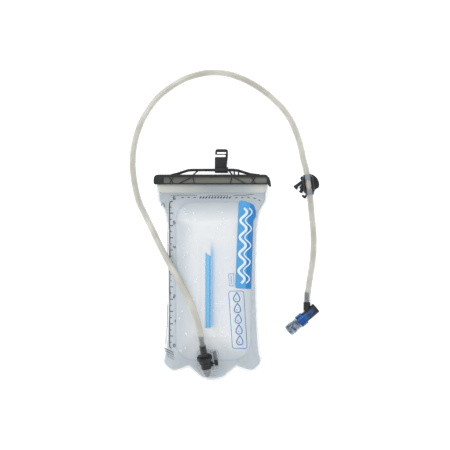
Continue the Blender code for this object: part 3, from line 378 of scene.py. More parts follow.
def moulded(name, dark, light, grain_mm, rough, **values):
    """A moulded plastic: two close shades in soft clouds, and a sandblasted grain of the given size."""
    material, tree, shader = new_finish(name, IOR=1.5, **values)
    shader.inputs["Specular IOR Level"].default_value = 0.28
    where = add(tree, "ShaderNodeTexCoord").outputs["Object"]
    cloud = add(tree, "ShaderNodeTexNoise", {"Vector": where, "Scale": 90.0, "Detail": 4.0})
    tint = add(tree, "ShaderNodeValToRGB", {"Fac": cloud.outputs["Fac"]}, ((0.3, dark), (0.72, light)))
    tree.links.new(tint.outputs["Color"], shader.inputs["Base Color"])
    worn = {"Value": cloud.outputs["Fac"], "To Min": rough - 0.06, "To Max": rough + 0.08}
    rub = add(tree, "ShaderNodeMapRange", worn)
    tree.links.new(rub.outputs["Result"], shader.inputs["Roughness"])
    grain = add(tree, "ShaderNodeTexNoise", {"Vector": where, "Scale": 1 / (grain_mm * MM), "Detail": 2.0})
    bump = add(tree, "ShaderNodeBump", {"Height": grain.outputs["Fac"], "Strength": 0.25, "Distance": 0.0002})
    tree.links.new(bump.outputs["Normal"], shader.inputs["Normal"])
    return material


def dress(finish, *nodes):
    """Gives CAD nodes a finish."""
    for node in nodes:
        frame["nodes"][node].data.materials.clear()
        frame["nodes"][node].data.materials.append(finish)


# Glass-filled nylon, moulded: nearly black, satin, with a spark-eroded grain drawn at 0.8 mm
black_nylon = moulded("black nylon, moulded", "1a1b1d", "2b2d30", 0.8, 0.4)
# Unfilled nylon with a smoother skin, so that its edges catch the light
black_gloss = moulded("black nylon, smooth moulded", "1b1d1f", "2a2c2f", 1.5, 0.26, Coat_Weight=0.3)
# Nitrile rubber, moulded: dull black, as a greased seal is where it is wiped dry
black_rubber = moulded("black nitrile rubber", "151515", "202020", 0.5, 0.6)

plug_profile = [(2.2, 19.0), (4.6, 19.0), (5.0, 18.2)]
for rib in (16.6, 13.6, 10.6, 7.6):
    plug_profile += [(5.0, rib), (4.35, rib - 0.4), (4.35, rib - 1.3), (5.0, rib - 1.7)]
plug_profile += [(5.0, 3.6), (6.6, 3.2), (6.6, 1.2), (4.7, 1.2), (4.7, -7.2), (3.7, -7.2), (3.7, -8.6)]
plug_profile += [(4.7, -8.6), (4.7, -11.8), (4.0, -12.5), (2.2, -12.5)]
barb_profile = [(0, 2.9), (9.4, 2.9), (10.6, 3.45), (10.7, 2.9), (12.4, 2.9), (12.6, 3.55), (13.6, 2.7)]
barb_radius = soften(barb_profile, 0.2 * MM, closed=False)
barb_at = np.concatenate([barb_radius[:, 0], barb_radius[::-1, 0]])
barb_wall = np.concatenate([barb_radius[:, 1], np.full(len(barb_radius), 2.2 * MM)])
barb_line, barb_aside, barb_up = (
    np.stack([np.interp(barb_at, hose_far, row[:, k]) for k in range(3)], 1) for row in (hose_line, aside, up)
)
plug = piece(
    "quick_plug",
    [
        turned(plug_profile, port_mouth, PORT_AXIS, 0.25 * MM),
        rings(barb_line, barb_aside, barb_up, barb_wall, 32, wrap=True),
    ],
    black_gloss,
)
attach(plug, "hose_line")
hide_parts("hose_plug")

dress(black_rubber, "plug_oring", "socket_seal", "spool_oring_rear", "spool_oring_front")


# ---------------------------------------------------------------- strap clip
# A sleeve that grips the hose, with an oval window that shows it, and a flat plate that swivels under it: a
# round thumb fan on one side, prongs for a pack strap on the other. Moulded nylon, snapped together.

# Black nylon, moulded; along the top of the sleeve its colour is mixed to a blue grey, a painted highlight
grip_nylon = moulded("black nylon, moulded, top painted with a highlight", "202224", "313437", 1.2, 0.25, Coat_Weight=0.4)
tree = grip_nylon.node_tree
where = add(tree, "ShaderNodeTexCoord").outputs["Object"]
height = add(tree, "ShaderNodeSeparateXYZ", {"Vector": where}).outputs["Z"]
# Mask of the sleeve's top, above about 15 mm: there the blue grey painted highlight replaces the black
thin = add(tree, "ShaderNodeMapRange", {"Value": height, "From Min": 14.8 * MM, "From Max": 15.3 * MM})
cloud = add(tree, "ShaderNodeTexNoise", {"Vector": where, "Scale": 120.0})
painted_gleam = add(tree, "ShaderNodeValToRGB", {"Fac": cloud.outputs["Fac"]}, ((0.0, "66727a"), (1.0, "8e9aa0")))
colour = tree.nodes["Principled BSDF"].inputs["Base Color"]
mixed = {"Factor": thin.outputs["Result"], 6: colour.links[0].from_socket, 7: painted_gleam.outputs["Color"]}
both = add(tree, "ShaderNodeMix", mixed, data_type="RGBA")
tree.links.new(both.outputs[2], colour)
dress(grip_nylon, "clip_grip")
dress(black_nylon, "clip_plate")

# Two cheeks stand along the sleeve and stiffen it
CLIP_TURN = math.radians(8.0)
CHEEK_HALF_LENGTH = 12.5 * MM
CHEEK_ASIDE = 6.3 * MM
CHEEK_HEIGHT = 4.4 * MM
clip_middle = np.array((143.6, 120.0, 9.6)) * MM
clip_along = np.array((math.sin(CLIP_TURN), -math.cos(CLIP_TURN), 0.0))
clip_aside = np.array((math.cos(CLIP_TURN), math.sin(CLIP_TURN), 0.0))
far = np.linspace(-1, 1, 25)[:, None]
ones = np.ones((len(far), 1))
cheeks = []
for side in (-1, 1):
    line = clip_middle + CHEEK_HALF_LENGTH * far * clip_along + side * CHEEK_ASIDE * clip_aside
    reach = CHEEK_HEIGHT * np.clip(1 - far**6, 0, 1) ** 0.4 + 1e-6
    cheeks.append(rings(line, ones * clip_aside * 0.5, ones * UP, reach[:, 0], 24))
grip_cheeks = piece("grip_cheeks", cheeks, black_nylon)
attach(grip_cheeks, "hose_line")


# ---------------------------------------------------------------- bite valve
# A black elbow with a barbed stem, a blue collar that turns on its nose, a hollow core inside and a clear
# silicone bite piece stretched over the spout. Moulded pieces pushed together; the bite piece is cast.

REAR_SEAL = 9.7 * MM  # the rear O-ring lies this far along the barrel
valve_rear = middle("spool_oring_rear") - VALVE_AXIS * REAR_SEAL

barrel = [(0, 0), (6.9, 0), (7.75, 0.9), (7.75, 3.0), (7.45, 3.3), (7.45, 3.9), (7.75, 4.2), (7.75, 19.5)]
barrel += [(7.4, 19.8), (7.4, 20.6), (7.75, 20.9), (7.75, 23), (7.0, 23), (7.0, 32.4), (6.2, 32.4)]
barrel += [(6.2, 2), (0, 2)]
stem = [(2.2, -13), (5.15, -13), (5.15, -0.6), (4.9, 0), (2.9, 0)]
for rung in (3.2, 6.8, 10.4, 14.0):
    stem += [(2.95, rung - 2.2), (3.6, rung - 1.2), (3.6, rung - 0.7), (2.95, rung)]
stem += [(2.5, 15.4), (2.2, 15.4)]
elbow = piece(
    "valve_body",
    [
        turned(barrel, valve_rear, VALVE_AXIS, 0.3 * MM, closed=False),
        turned(stem, STEM_MIDDLE, STEM_AXIS, 0.15 * MM),
    ],
    black_nylon,
)
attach(elbow, "hose_line")
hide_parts("valve_elbow")

# Blue acetal, moulded: strong colour, a wax-like sheen and a clear bright edge
collar_blue = moulded("blue acetal, moulded", "002c58", "0055a0", 1.6, 0.24, Coat_Weight=0.1)
collar_ring = [(4.4, 34.7), (9.1, 34.7), (9.7, 33.9), (9.7, 31.6), (9.3, 31.3), (9.3, 30.7), (9.7, 30.4)]
collar_ring += [(9.7, 27.6), (9.3, 27.3), (9.3, 26.7), (9.7, 26.4), (9.7, 23.4), (7.4, 23.4), (7.4, 33.4)]
collar_ring += [(4.4, 33.4)]
TONGUE_HALF_ANGLE = math.radians(33)
TONGUE_ROOT = 24.4  # millimetres along the valve, as its profiles are
TONGUE_LENGTH = 20.4
TONGUE_FOOT = 8.15


def tongue():
    """A pointed tongue wrapped on the barrel: its half width falls to a point, and it is thick in the middle."""
    along = np.linspace(0, 1, 28)[:, None]
    across = np.linspace(-1, 1, 15)[None, :]
    angle = TONGUE_HALF_ANGLE * np.clip(1 - along**2.2, 0, 1) ** 0.75 * across
    height = (TONGUE_ROOT - TONGUE_LENGTH * along) * MM + 0 * across
    crown = (1 - across**4) * (1 - along**6)
    outer = (TONGUE_FOOT + 0.1 + 1.3 * crown) * MM
    inner = TONGUE_FOOT * MM + 0 * outer
    aside = unit(np.cross(UP, VALVE_AXIS))

    def at(radius):
        spoke = np.cos(angle)[..., None] * UP + np.sin(angle)[..., None] * aside
        return valve_rear + height[..., None] * VALVE_AXIS + radius[..., None] * spoke

    return grid_part(np.concatenate([at(outer), at(inner)[:, ::-1]], axis=1), wrap_columns=True)


collar_parts = [turned(collar_ring, valve_rear, VALVE_AXIS, 0.25 * MM), tongue()]
twist_collar = piece("twist_collar", collar_parts, collar_blue)
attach(twist_collar, "twist_valve")
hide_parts("valve_collar")

# Tinted acetal core, smooth moulded
core_finish = moulded("smoke acetal, moulded", "565a55", "6f736c", 1.0, 0.3)
core = [(0, 5), (2.6, 5), (2.6, 46), (4.4, 46), (5.2, 45), (5.2, 35.2), (4.1, 35.2), (4.1, 33), (5.9, 33)]
core += [(5.9, 28.4), (4.9, 28.4), (4.9, 27), (5.9, 27), (5.9, 10.4), (4.9, 10.4), (4.9, 9), (5.9, 9), (5.9, 3)]
core += [(0, 3)]
spool = piece("shutoff_core", [turned(core, valve_rear, VALVE_AXIS, 0.15 * MM, closed=False)], core_finish)
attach(spool, "twist_valve")
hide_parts("valve_spool")

silicone, tree, shader = new_finish("clear silicone, cast", Roughness=0.12, IOR=1.41, Alpha=0.8)
# Cast silicone: water-clear, smooth and wet; its colour is painted reflection, in clouds of dark navy and cool
# grey
shader.inputs["Coat Weight"].default_value = 0.6
shader.inputs["Coat Roughness"].default_value = 0.05
where = add(tree, "ShaderNodeTexCoord").outputs["Object"]
cloud = add(tree, "ShaderNodeTexNoise", {"Vector": where, "Scale": 170.0, "Detail": 2.0})
painted_reflection_tints = ((0.38, "233f5c"), (0.66, "93a3b2"))
tint = add(tree, "ShaderNodeValToRGB", {"Fac": cloud.outputs["Fac"]}, painted_reflection_tints)
tree.links.new(tint.outputs["Color"], shader.inputs["Base Color"])

bite = [(0, 53.8), (4.9, 53.2), (5.5, 50.8), (5.5, 35.2), (8.25, 35.2), (8.25, 37.2), (7.6, 37.8), (7.6, 38.6)]
bite += [(8.25, 39.2), (8.25, 41), (7.5, 41.9), (7.7, 42.8), (8.85, 44.6), (8.85, 52.4), (8.1, 54.6)]
bite += [(5.8, 55.8), (0, 56.2)]
bite_cup = piece("bite_cup", [turned(bite, valve_rear, VALVE_AXIS, 0.8 * MM, closed=False)], silicone)
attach(bite_cup, "twist_valve")
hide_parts("bite_piece")


# ---------------------------------------------------------------- film bag
# Two panels of clear polyurethane film, 0.6 mm thick, welded together along a 4 mm hem. Filled, the front
# panel rises from the weld in a soft roll, is flat on top, and puckers where the hem is curved.

FILM = 0.6 * MM
GAP = 0.3 * MM
HEM = 4.0 * MM
SEAM_Z = 20.0 * MM
FRONT_RISE = 20.4 * MM
MOUTH_Z = 24.0 * MM
MOUTH_GAP = 4.8 * MM
SIDE_ROLL = 38.0 * MM
FOOT_ROLL = 58.0 * MM
CORNER_Y = -138.0 * MM
CORNER_HALF_WIDTH = 76.0 * MM
MOUTH_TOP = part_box("film_front")[1].y
# Half the width of the bag at heights up its side, and the scalloped foot: distance from the middle, height
SIDE = ((-138, 76), (-112, 70.8), (-75, 68.6), (-15, 67), (48, 68), (80, 72.5), (101, 82.8), (130, 82.8))
FOOT = ((0, -172.8), (14, -170.4), (26, -161), (36, -153.6), (46, -156.8), (58, -160), (69, -153), (76, -138))
PAD_MIDDLE = np.array((-7.0, -141.0, 27.2)) * MM
PAD_REACH = 26.0 * MM
PAD_SLOPE = 0.25
DIMPLE_DEPTH = 4.5 * MM
DIMPLE_WIDTH = 15.0 * MM
baffle_low, baffle_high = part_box("baffle")
BAFFLE_X = (baffle_low.x + baffle_high.x) / 2
BAFFLE_HALF = (baffle_high.x - baffle_low.x) / 2
BAFFLE_LOW = baffle_low.y
BAFFLE_HIGH = baffle_high.y
QUILL_SLOPE = math.tan(math.radians(38))
# The crease where the flat top of the full bag ends: a rectangle with round corners
CREASE_MIDDLE = np.array((1.5, -23.75)) * MM
CREASE_HALF = np.array((55.5, 117.75)) * MM
CREASE_CORNER = 27.0 * MM
CREASE_DEPTH = 0.7 * MM
CREASE_WIDTH = 1.3 * MM
FULL_TO = 58 * MM  # the bag is full up to here, and flat from FLAT_FROM to its mouth
FLAT_FROM = 104 * MM
FOLD_DEPTH = 0.35 * MM
FOLD_LENGTH = 46 * MM
PUCKER_DEPTH = 0.32 * MM
PUCKER_LENGTH = 9.5 * MM
PUCKER_REACH = 7 * MM
NOTCH_X, NOTCH_Y = 36 * MM, -153.6 * MM  # the notches of the scalloped foot, from which folds fan out
NOTCH_REACH = 17 * MM
SHOULDER_X = 70 * MM
SHOULDER_REACH = 16 * MM
PANEL_ROWS = 230
PANEL_COLUMNS = 150


def ease(low, high, value):
    """0 below low, 1 above high, and smooth between."""
    t = np.clip((value - low) / (high - low), 0, 1)
    return t * t * (3 - 2 * t)


def through(stations, where):
    """A smooth curve through (position, value) stations that never overshoots them: each slope is the
    harmonic mean of its two sides, and level at a turning point."""
    at, value = np.array(stations, float).T * MM
    side = np.diff(value) / np.diff(at)
    before, after = side[:-1], side[1:]
    same = before * after > 0
    inner = np.where(same, 2 * before * after / np.where(same, before + after, 1), 0)
    slope = np.concatenate([[0 if at[0] == 0 else side[0]], inner, side[-1:]])
    i = np.clip(np.searchsorted(at, where) - 1, 0, len(at) - 2)
    width = at[i + 1] - at[i]
    t = np.clip((where - at[i]) / width, 0, 1)
    curve = (2 * t**3 - 3 * t**2 + 1) * value[i] + (t**3 - 2 * t**2 + t) * width * slope[i]
    return curve + (3 * t**2 - 2 * t**3) * value[i + 1] + (t**3 - t**2) * width * slope[i + 1]


def panel_plan(u, v):
    """Where (u, v) of a panel lies in plan: u runs across from -1 to 1, v up from the foot to the mouth."""
    foot = through(FOOT, np.abs(u) * CORNER_HALF_WIDTH)
    level = CORNER_Y + (MOUTH_TOP - CORNER_Y) * v
    return u * through(SIDE, level), foot + (MOUTH_TOP - foot) * v


def panel_place(x, y):
    """The (u, v) of a place in plan, by putting each answer back into the outline until it settles."""
    u = 0 * x
    for _ in range(10):
        foot = through(FOOT, np.abs(u) * CORNER_HALF_WIDTH)
        v = (y - foot) / (MOUTH_TOP - foot)
        u = x / through(SIDE, CORNER_Y + (MOUTH_TOP - CORNER_Y) * v)
    return u, v


def ripple(x, y, length, count, seed):
    """Even, aimless waves of about one length: a mean of sines with random directions and starts."""
    draw = np.random.default_rng(seed)
    turn = draw.uniform(0, 2 * np.pi, count)
    start = draw.uniform(0, 2 * np.pi, count)
    pace = 2 * np.pi / (length * draw.uniform(0.7, 1.4, count))
    total = 0 * x
    for k in range(count):
        total = total + np.sin((x * np.cos(turn[k]) + y * np.sin(turn[k])) * pace[k] + start[k])
    return total / math.sqrt(count)


def roll(distance, reach):
    """The rise of the film from its weld: an ellipse that is level after the reach."""
    t = np.clip(distance / reach, 0, 1)
    return (1 - (1 - t) ** 2) ** 0.6


def in_crease(x, y):
    """How far inside the crease a place is: the signed distance to a rectangle with round corners."""
    over_x = np.abs(x - CREASE_MIDDLE[0]) - CREASE_HALF[0] + CREASE_CORNER
    over_y = np.abs(y - CREASE_MIDDLE[1]) - CREASE_HALF[1] + CREASE_CORNER
    outside = np.hypot(np.maximum(over_x, 0), np.maximum(over_y, 0))
    return CREASE_CORNER - outside - np.minimum(np.maximum(over_x, over_y), 0)


def edge_distances(u, v):
    """How far inside the hem a place is, from the side and from the foot."""
    half = through(SIDE, CORNER_Y + (MOUTH_TOP - CORNER_Y) * v)
    foot = through(FOOT, np.abs(u) * CORNER_HALF_WIDTH)
    y = foot + (MOUTH_TOP - foot) * v
    return (1 - np.abs(u)) * half - HEM, y - foot - HEM


def pad_share(x, y):
    """1 on the sloping flat under the port's foot, and 0 away from it."""
    return 1 - ease(1.05, 1.8, np.hypot(x - PAD_MIDDLE[0], y - PAD_MIDDLE[1]) / PAD_REACH)


def film_height(u, v, side):
    """The inner face of a panel: the roll from the weld, the dimple over the baffle, the flat for the port,
    and the small folds that a full bag has."""
    x, y = panel_plan(u, v)
    in_side, in_foot = edge_distances(u, v)
    full = 1 - ease(FULL_TO, FLAT_FROM, y)
    rise = FRONT_RISE if side > 0 else SEAM_Z - FILM - GAP / 2
    body = rise * roll(in_side, SIDE_ROLL) * roll(in_foot, FOOT_ROLL) * full
    mouth = (MOUTH_GAP - GAP) / 2 * ease(0, 3 * MM, in_side) * (1 - full)
    near_edge = np.minimum(in_side, in_foot)
    lift = ease(0, 12 * MM, near_edge) * (1 - ease(92 * MM, 106 * MM, y))
    folds = FOLD_DEPTH * ripple(x, y, FOLD_LENGTH, 7, 5 + side) * lift
    pucker = np.sin(2 * np.pi * (y / PUCKER_LENGTH + 0.35 * ripple(x, y, 60 * MM, 5, 11)))
    fade = np.exp(-np.maximum(in_side, 0) / PUCKER_REACH)
    folds = folds + PUCKER_DEPTH * pucker * fade * ease(0, 3 * MM, in_side) * full
    for notch in (-NOTCH_X, NOTCH_X):
        away = np.hypot(x - notch, y - NOTCH_Y)
        spoke = np.arctan2(x - notch, y - NOTCH_Y)
        fan = np.cos(spoke * 9 + 0.6) * np.exp(-away / NOTCH_REACH) * ease(2 * MM, 9 * MM, away)
        folds = folds + 1.0 * MM * fan * ease(0, 6 * MM, in_foot)
    for corner in (-SHOULDER_X, SHOULDER_X):
        slant = (x - corner) * np.sign(corner) * 0.75 + (y - 96 * MM)
        crease = np.cos(slant / (5.2 * MM)) * np.exp(-np.hypot(x - corner, y - 92 * MM) / SHOULDER_REACH)
        folds = folds + 0.5 * MM * crease * ease(0, 6 * MM, in_side)
    if side > 0:
        along = ease(BAFFLE_LOW - 22 * MM, BAFFLE_LOW, y) * (1 - ease(BAFFLE_HIGH, BAFFLE_HIGH + 24 * MM, y))
        across = 1 - ease(BAFFLE_HALF + 1 * MM, DIMPLE_WIDTH + BAFFLE_HALF, np.abs(x - BAFFLE_X))
        body = np.minimum(body, FRONT_RISE - DIMPLE_DEPTH * along * across)
        folds = folds * (1 - along * across)
        crease = np.exp(-((in_crease(x, y) / CREASE_WIDTH) ** 2))
        body = body - CREASE_DEPTH * crease * ease(0, 8 * MM, near_edge)
    else:
        folds = np.minimum(folds, 0)
    middle = SEAM_Z + (MOUTH_Z - SEAM_Z) * ease(70 * MM, 103 * MM, y)
    z = middle + side * (GAP / 2 + body + mouth + folds * (1 - pad_share(x, y)))
    if side > 0:
        flat_pad = PAD_MIDDLE[2] + (y - PAD_MIDDLE[1]) * PAD_SLOPE
        z = z + (np.minimum(flat_pad, z) - z) * pad_share(x, y) * ease(0, 5 * MM, in_foot)
    return z


def film_finish(name):
    """Clear film: haze follows the surface's own attributes, as do the painted shade and the painted blue
    reflection in its colour, and the skin is glossy.
    """
    material, tree, shader = new_finish(name, IOR=1.5)
    shader.inputs["Coat Weight"].default_value = 0.25
    shader.inputs["Coat Roughness"].default_value = 0.08
    painted_shading = add(tree, "ShaderNodeAttribute", attribute_name="painted_shading")
    haze = add(tree, "ShaderNodeAttribute", attribute_name="haze")
    blue = add(tree, "ShaderNodeAttribute", attribute_name="blue")
    where = add(tree, "ShaderNodeTexCoord").outputs["Object"]
    cloud = add(tree, "ShaderNodeTexNoise", {"Vector": where, "Scale": 35.0, "Detail": 4.0})
    blurred = add(tree, "ShaderNodeMath", {0: cloud.outputs["Fac"], 1: 0.16}, operation="MULTIPLY")
    level = add(tree, "ShaderNodeMath", {0: painted_shading.outputs["Fac"], 1: blurred.outputs[0]}, operation="ADD")
    tones = ((0.1, "a4afb7"), (0.5, "ced5d9"), (1.0, "eff0f1"))
    ramp = add(tree, "ShaderNodeValToRGB", {"Fac": level.outputs[0]}, tones)
    # The blue attribute mixes in a painted reflection of the baffle, on the film beside it
    mixed = {"Factor": blue.outputs["Fac"], 6: ramp.outputs["Color"], 7: linear("6fb4e2")}
    painted_reflection_mix = add(tree, "ShaderNodeMix", mixed, data_type="RGBA")
    tree.links.new(painted_reflection_mix.outputs[2], shader.inputs["Base Color"])
    tree.links.new(haze.outputs["Fac"], shader.inputs["Alpha"])
    mist = add(tree, "ShaderNodeTexNoise", {"Vector": where, "Scale": 500.0, "Detail": 3.0})
    rub = add(tree, "ShaderNodeMapRange", {"Value": mist.outputs["Fac"], "To Min": 0.24, "To Max": 0.42})
    tree.links.new(rub.outputs["Result"], shader.inputs["Roughness"])
    bump = add(tree, "ShaderNodeBump", {"Height": mist.outputs["Fac"], "Strength": 0.1, "Distance": 0.0002})
    tree.links.new(bump.outputs["Normal"], shader.inputs["Normal"])
    return material


def film_panel(name, side, finish, node):
    """One panel: a fine grid on its surface, given its thickness outwards, with painted shade, haze and a painted
    blue reflection at each point.
    """
    u = np.sin(np.linspace(-np.pi / 2, np.pi / 2, PANEL_COLUMNS))[None, :] + np.zeros((PANEL_ROWS, 1))
    v = (np.linspace(0, 1, PANEL_ROWS) ** 1.15)[:, None] + 0 * u
    x, y = panel_plan(u, v)
    z = film_height(u, v, side)
    points, quads = grid_part(np.stack([x, y, z], -1))
    if side > 0:
        quads = quads[:, ::-1]
    obj = piece(name, [(points, quads)], finish, closed=False)
    x, y, z = points.T
    in_side, in_foot = edge_distances(*panel_place(x, y))
    weld = 1 - ease(-1.2 * MM, 0.4 * MM, np.minimum(in_side, in_foot))
    inside = in_crease(x, y)
    # Painted shade: darker on the slopes towards the weld and along the crease, lighter on the flat top inside
    # the crease, darker towards the mouth and the foot; the clear weld is lighter
    painted_shading = 0.32 + 0.10 * ease(-1.0 * MM, 1.5 * MM, inside) + 0.5 * ease(0, 34 * MM, inside)
    painted_shading = painted_shading - 0.14 * np.exp(-((inside / (0.9 * MM)) ** 2))
    painted_shading = painted_shading - 0.16 * ease(60 * MM, 110 * MM, y) - 0.04 * (1 - ease(-150 * MM, -90 * MM, y)) + 0.6 * weld
    flange = 1 - ease(BAFFLE_HALF - 0.4 * MM, BAFFLE_HALF + 1.4 * MM, np.abs(x - BAFFLE_X))
    quill = BAFFLE_HIGH - QUILL_SLOPE * np.clip(x - BAFFLE_X + BAFFLE_HALF, 0, 2 * BAFFLE_HALF)
    flange = flange * ease(BAFFLE_LOW - 1 * MM, BAFFLE_LOW, y) * (1 - ease(quill - 0.6 * MM, quill + 0.6 * MM, y))
    haze = 0.5 - 0.2 * weld - 0.44 * flange
    # Painted reflection of the blue baffle on the film to its right: a band about 2 mm off its edge and a fainter
    # spread beyond
    beside = (x - BAFFLE_X - BAFFLE_HALF) / MM
    length = ease(BAFFLE_LOW - 4 * MM, BAFFLE_LOW + 6 * MM, y)
    length = length * (1 - ease(BAFFLE_HIGH - 4 * MM, BAFFLE_HIGH + 20 * MM, y))
    painted_gleam = 0.55 * np.exp(-((beside - 2.2) ** 2) / 9) + 0.22 * np.exp(-np.abs(beside) / 12)
    painted_gleam = np.where(beside > 0, painted_gleam, 0)
    for attribute, values in (("painted_shading", painted_shading), ("haze", haze), ("blue", painted_gleam * length)):
        data = obj.data.attributes.new(attribute, "FLOAT", "POINT")
        data.data.foreach_set("value", np.asarray(values, np.float32))
    wall = obj.modifiers.new("film", "SOLIDIFY")
    wall.thickness = FILM
    wall.offset = 1
    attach(obj, "bag")
    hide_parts(node)
    return obj


film_clear = film_finish("clear polyurethane film")
front = film_panel("front_panel", 1, film_clear, "film_front")
back = film_panel("back_panel", -1, film_clear, "film_back")


# ---------------------------------------------------------------- print
# Screen-printed ink on the front panel, laid on the film in thin flat marks: a filling scale, the line of
# the highest fill, care strips, and two blue panels with a wave and drops.

INK = 0.05 * MM
INK_LIFT = 0.08 * MM
SECOND_INK_LIFT = 0.16 * MM  # ink printed over ink


def film_top(x, y, lift=INK_LIFT):
    """The height of ink on the front panel: the film's outer face, raised along its slope."""
    def height(a, b):
        return film_height(*panel_place(a, b), 1)

    step = 0.2 * MM
    slope_x = (height(x + step, y) - height(x - step, y)) / (2 * step)
    slope_y = (height(x, y + step) - height(x, y - step)) / (2 * step)
    return height(x, y) + (FILM + lift) * np.sqrt(1 + slope_x**2 + slope_y**2)


def laid(x, y, lift=INK_LIFT):
    """A grid of places in plan, in millimetres, laid on the front panel."""
    x, y = np.broadcast_arrays(np.asarray(x, float) * MM, np.asarray(y, float) * MM)
    return grid_part(np.stack([x, y, film_top(x, y, lift)], -1))


def stroke(points, width, closed=False, step=0.8, lift=INK_LIFT):
    """A printed line: points a step apart along it, and the same distance to each side."""
    line = np.array(points, float)
    if closed:
        line = np.concatenate([line, line[:1]])
    far = np.concatenate([[0], np.cumsum(np.hypot(*np.diff(line, axis=0).T))])
    mark = np.linspace(0, far[-1], max(2, round(far[-1] / step)) + 1)
    x, y = (np.interp(mark, far, line[:, k]) for k in range(2))
    ahead = unit(np.stack([np.gradient(x), np.gradient(y)], 1))
    if closed:
        ahead[[0, -1]] = unit(ahead[0] + ahead[-1])
    side = np.linspace(-width / 2, width / 2, 3)[None, :]
    return laid(x[:, None] - ahead[:, 1:] * side, y[:, None] + ahead[:, :1] * side, lift)


def ink(name, parts, finish):
    """A printed piece on the bag: thin marks with the thickness of dry ink."""
    facing = []
    for points, quads in parts:
        a, b, c = (points[quads[0, k]] for k in range(3))
        up = np.cross(b - a, c - a)[2] > 0
        facing.append((points, quads if up else quads[:, ::-1]))
    obj = piece(name, facing, finish, closed=False)
    dry = obj.modifiers.new("ink", "SOLIDIFY")
    dry.thickness = INK
    dry.offset = 1
    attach(obj, "bag")
    return obj


def ink_finish(name, thin, full):
    """Screen ink: dense, slightly mottled where the mesh left it thin, with a soft sheen."""
    material, tree, shader = new_finish(name, Roughness=0.38)
    where = add(tree, "ShaderNodeTexCoord").outputs["Object"]
    mottle = add(tree, "ShaderNodeTexNoise", {"Vector": where, "Scale": 420.0, "Detail": 3.0})
    tint = add(tree, "ShaderNodeValToRGB", {"Fac": mottle.outputs["Fac"]}, ((0.3, full), (0.75, thin)))
    tree.links.new(tint.outputs["Color"], shader.inputs["Base Color"])
    return material


black_ink = ink_finish("black screen ink", "25292e", "14181c")
thin_ink = ink_finish("thin grey screen ink", "555d63", "3a4147")
sky_ink = ink_finish("light blue screen ink", "4fa0d4", "3690cb")
deep_ink = ink_finish("deep blue screen ink", "1280c4", "0070b8")
pale_ink = ink_finish("white screen ink", "e8ecee", "d9dfe3")

SCALE_X = -63.8
SCALE_ZERO = -124.1
TICK = 9.15
rule = [(-59, 94.9), (-61.6, 94.8), (-63.2, 93.6), (SCALE_X, 91), (SCALE_X, -118), (-63.4, -122)]
marks = [stroke([*rule, (-61, SCALE_ZERO)], 1.4)]
for step in range(1, 24):
    height = SCALE_ZERO + step * TICK
    marks.append(stroke([(SCALE_X, height), (SCALE_X + (2.9 if step % 2 else 5.2), height)], 1.25))

SEGMENTS = {
    "a": ((0, 2), (1, 2)),
    "b": ((1, 2), (1, 1)),
    "c": ((1, 1), (1, 0)),
    "d": ((1, 0), (0, 0)),
    "e": ((0, 0), (0, 1)),
    "f": ((0, 1), (0, 2)),
    "g": ((0, 1), (1, 1)),
}
DIGITS = ("abcdef", "bc", "abged", "abgcd", "fgbc", "afgcd", "afgedc")
for number, segments in enumerate(DIGITS):
    left, foot = -58.2, SCALE_ZERO + 2.2 + number * 4 * TICK
    for segment in segments:
        ends = [(left + 2.7 * px, foot + 2.1 * py) for px, py in SEGMENTS[segment]]
        marks.append(stroke(ends, 1.0))

for k in range(12):
    x = -44.3 + 8.9 * k
    if x < -20 or x > 30:
        marks.append(stroke([(x - 1.7, 100.6), (x + 1.7, 100.6)], 1.1))
marks.append(stroke([(61.2, 99.6), (64.4, 98.9)], 1.1))
marks.append(stroke([(68.9, 97.0), (71.4, 95.8)], 1.2))
for k in range(11):
    x = -18 + 4.4 * k
    marks.append(stroke([(x - 1, 99.2), (x + 1.4, 102)], 1.7))
ink("fill_scale", marks, black_ink)

strips = []
for start, end, height in ((-62, -22, 103.9), (-7, 24, 103.9)):
    for x in np.arange(start, end, 3.1):
        strips.append(stroke([(x, height), (x + 2.2, height)], 0.9))
strips.append(stroke([(31, 103.7), (48, 103.9), (61, 105.2)], 0.8))
for x, low, high in ((-66.6, 15, 49), (-67, -93, -61), (-69.4, -118, -96)):
    for y in np.arange(low, high, 3.4):
        strips.append(stroke([(x, y), (x, y + 2.4)], 0.8))
turn = np.radians(np.linspace(-60, 200, 14))
strips.append(stroke(np.stack([-73.6 + 2.4 * np.cos(turn), 88.6 + 3.2 * np.sin(turn)], 1), 0.8))
for row in range(4):
    start = np.array((-71.5, -124.5)) + row * np.array((1.4, -3.6))
    strips.append(stroke([start, start + np.array((13.5 - row, -5.6))], 1.3 if row < 2 else 0.8))
ink("care_strips", strips, thin_ink)


BANNER_WIDTH = 24.0
BANNER_CORNER = 3.0


def banner(shares):
    """The solid panel between two leaning edges, its top sloping down to the right; shares picks a part of
    its width. Its left corners are quarter circles: each takes 1 - sqrt(1 - (1 - s) ** 2) of a corner off."""
    t = np.linspace(0, 1, 90)[:, None]
    share = np.array(shares)[None, :]
    left = 33.9 + 5.1 * t
    right = 57.9 + 3.6 * t + 3.4 * ease(0.86, 0.93, t)
    s = np.minimum(share * BANNER_WIDTH / BANNER_CORNER, 1)
    off = BANNER_CORNER * (1 - np.sqrt(1 - (1 - s) ** 2))
    low = -34.4 - 1.2 * share + off
    high = 95.8 - 9.0 * share**2.2 - off - 6.0 * ease(0.86, 1.0, share)
    return laid(left + (right - left) * share, low + (high - low) * t)


EDGE = 0.66  # where the light blue ends
ink("banner_light", [banner(np.linspace(0, EDGE, 20))], sky_ink)
ink("banner_deep", [banner(np.linspace(EDGE, 1, 12))], deep_ink)

along = np.linspace(0, 1, 240)
lean = 46.2 + 4.4 * along
crest = []
for offset, width in ((-3.4, 3.6), (4.0, 1.7)):
    swing = 4.6 * np.sin(along * 2 * np.pi * 4.5)
    line = np.stack([lean + offset + swing, -27 + 112 * along], 1)
    crest.append(stroke(line, width, lift=SECOND_INK_LIFT))
ink("banner_wave", crest, pale_ink)

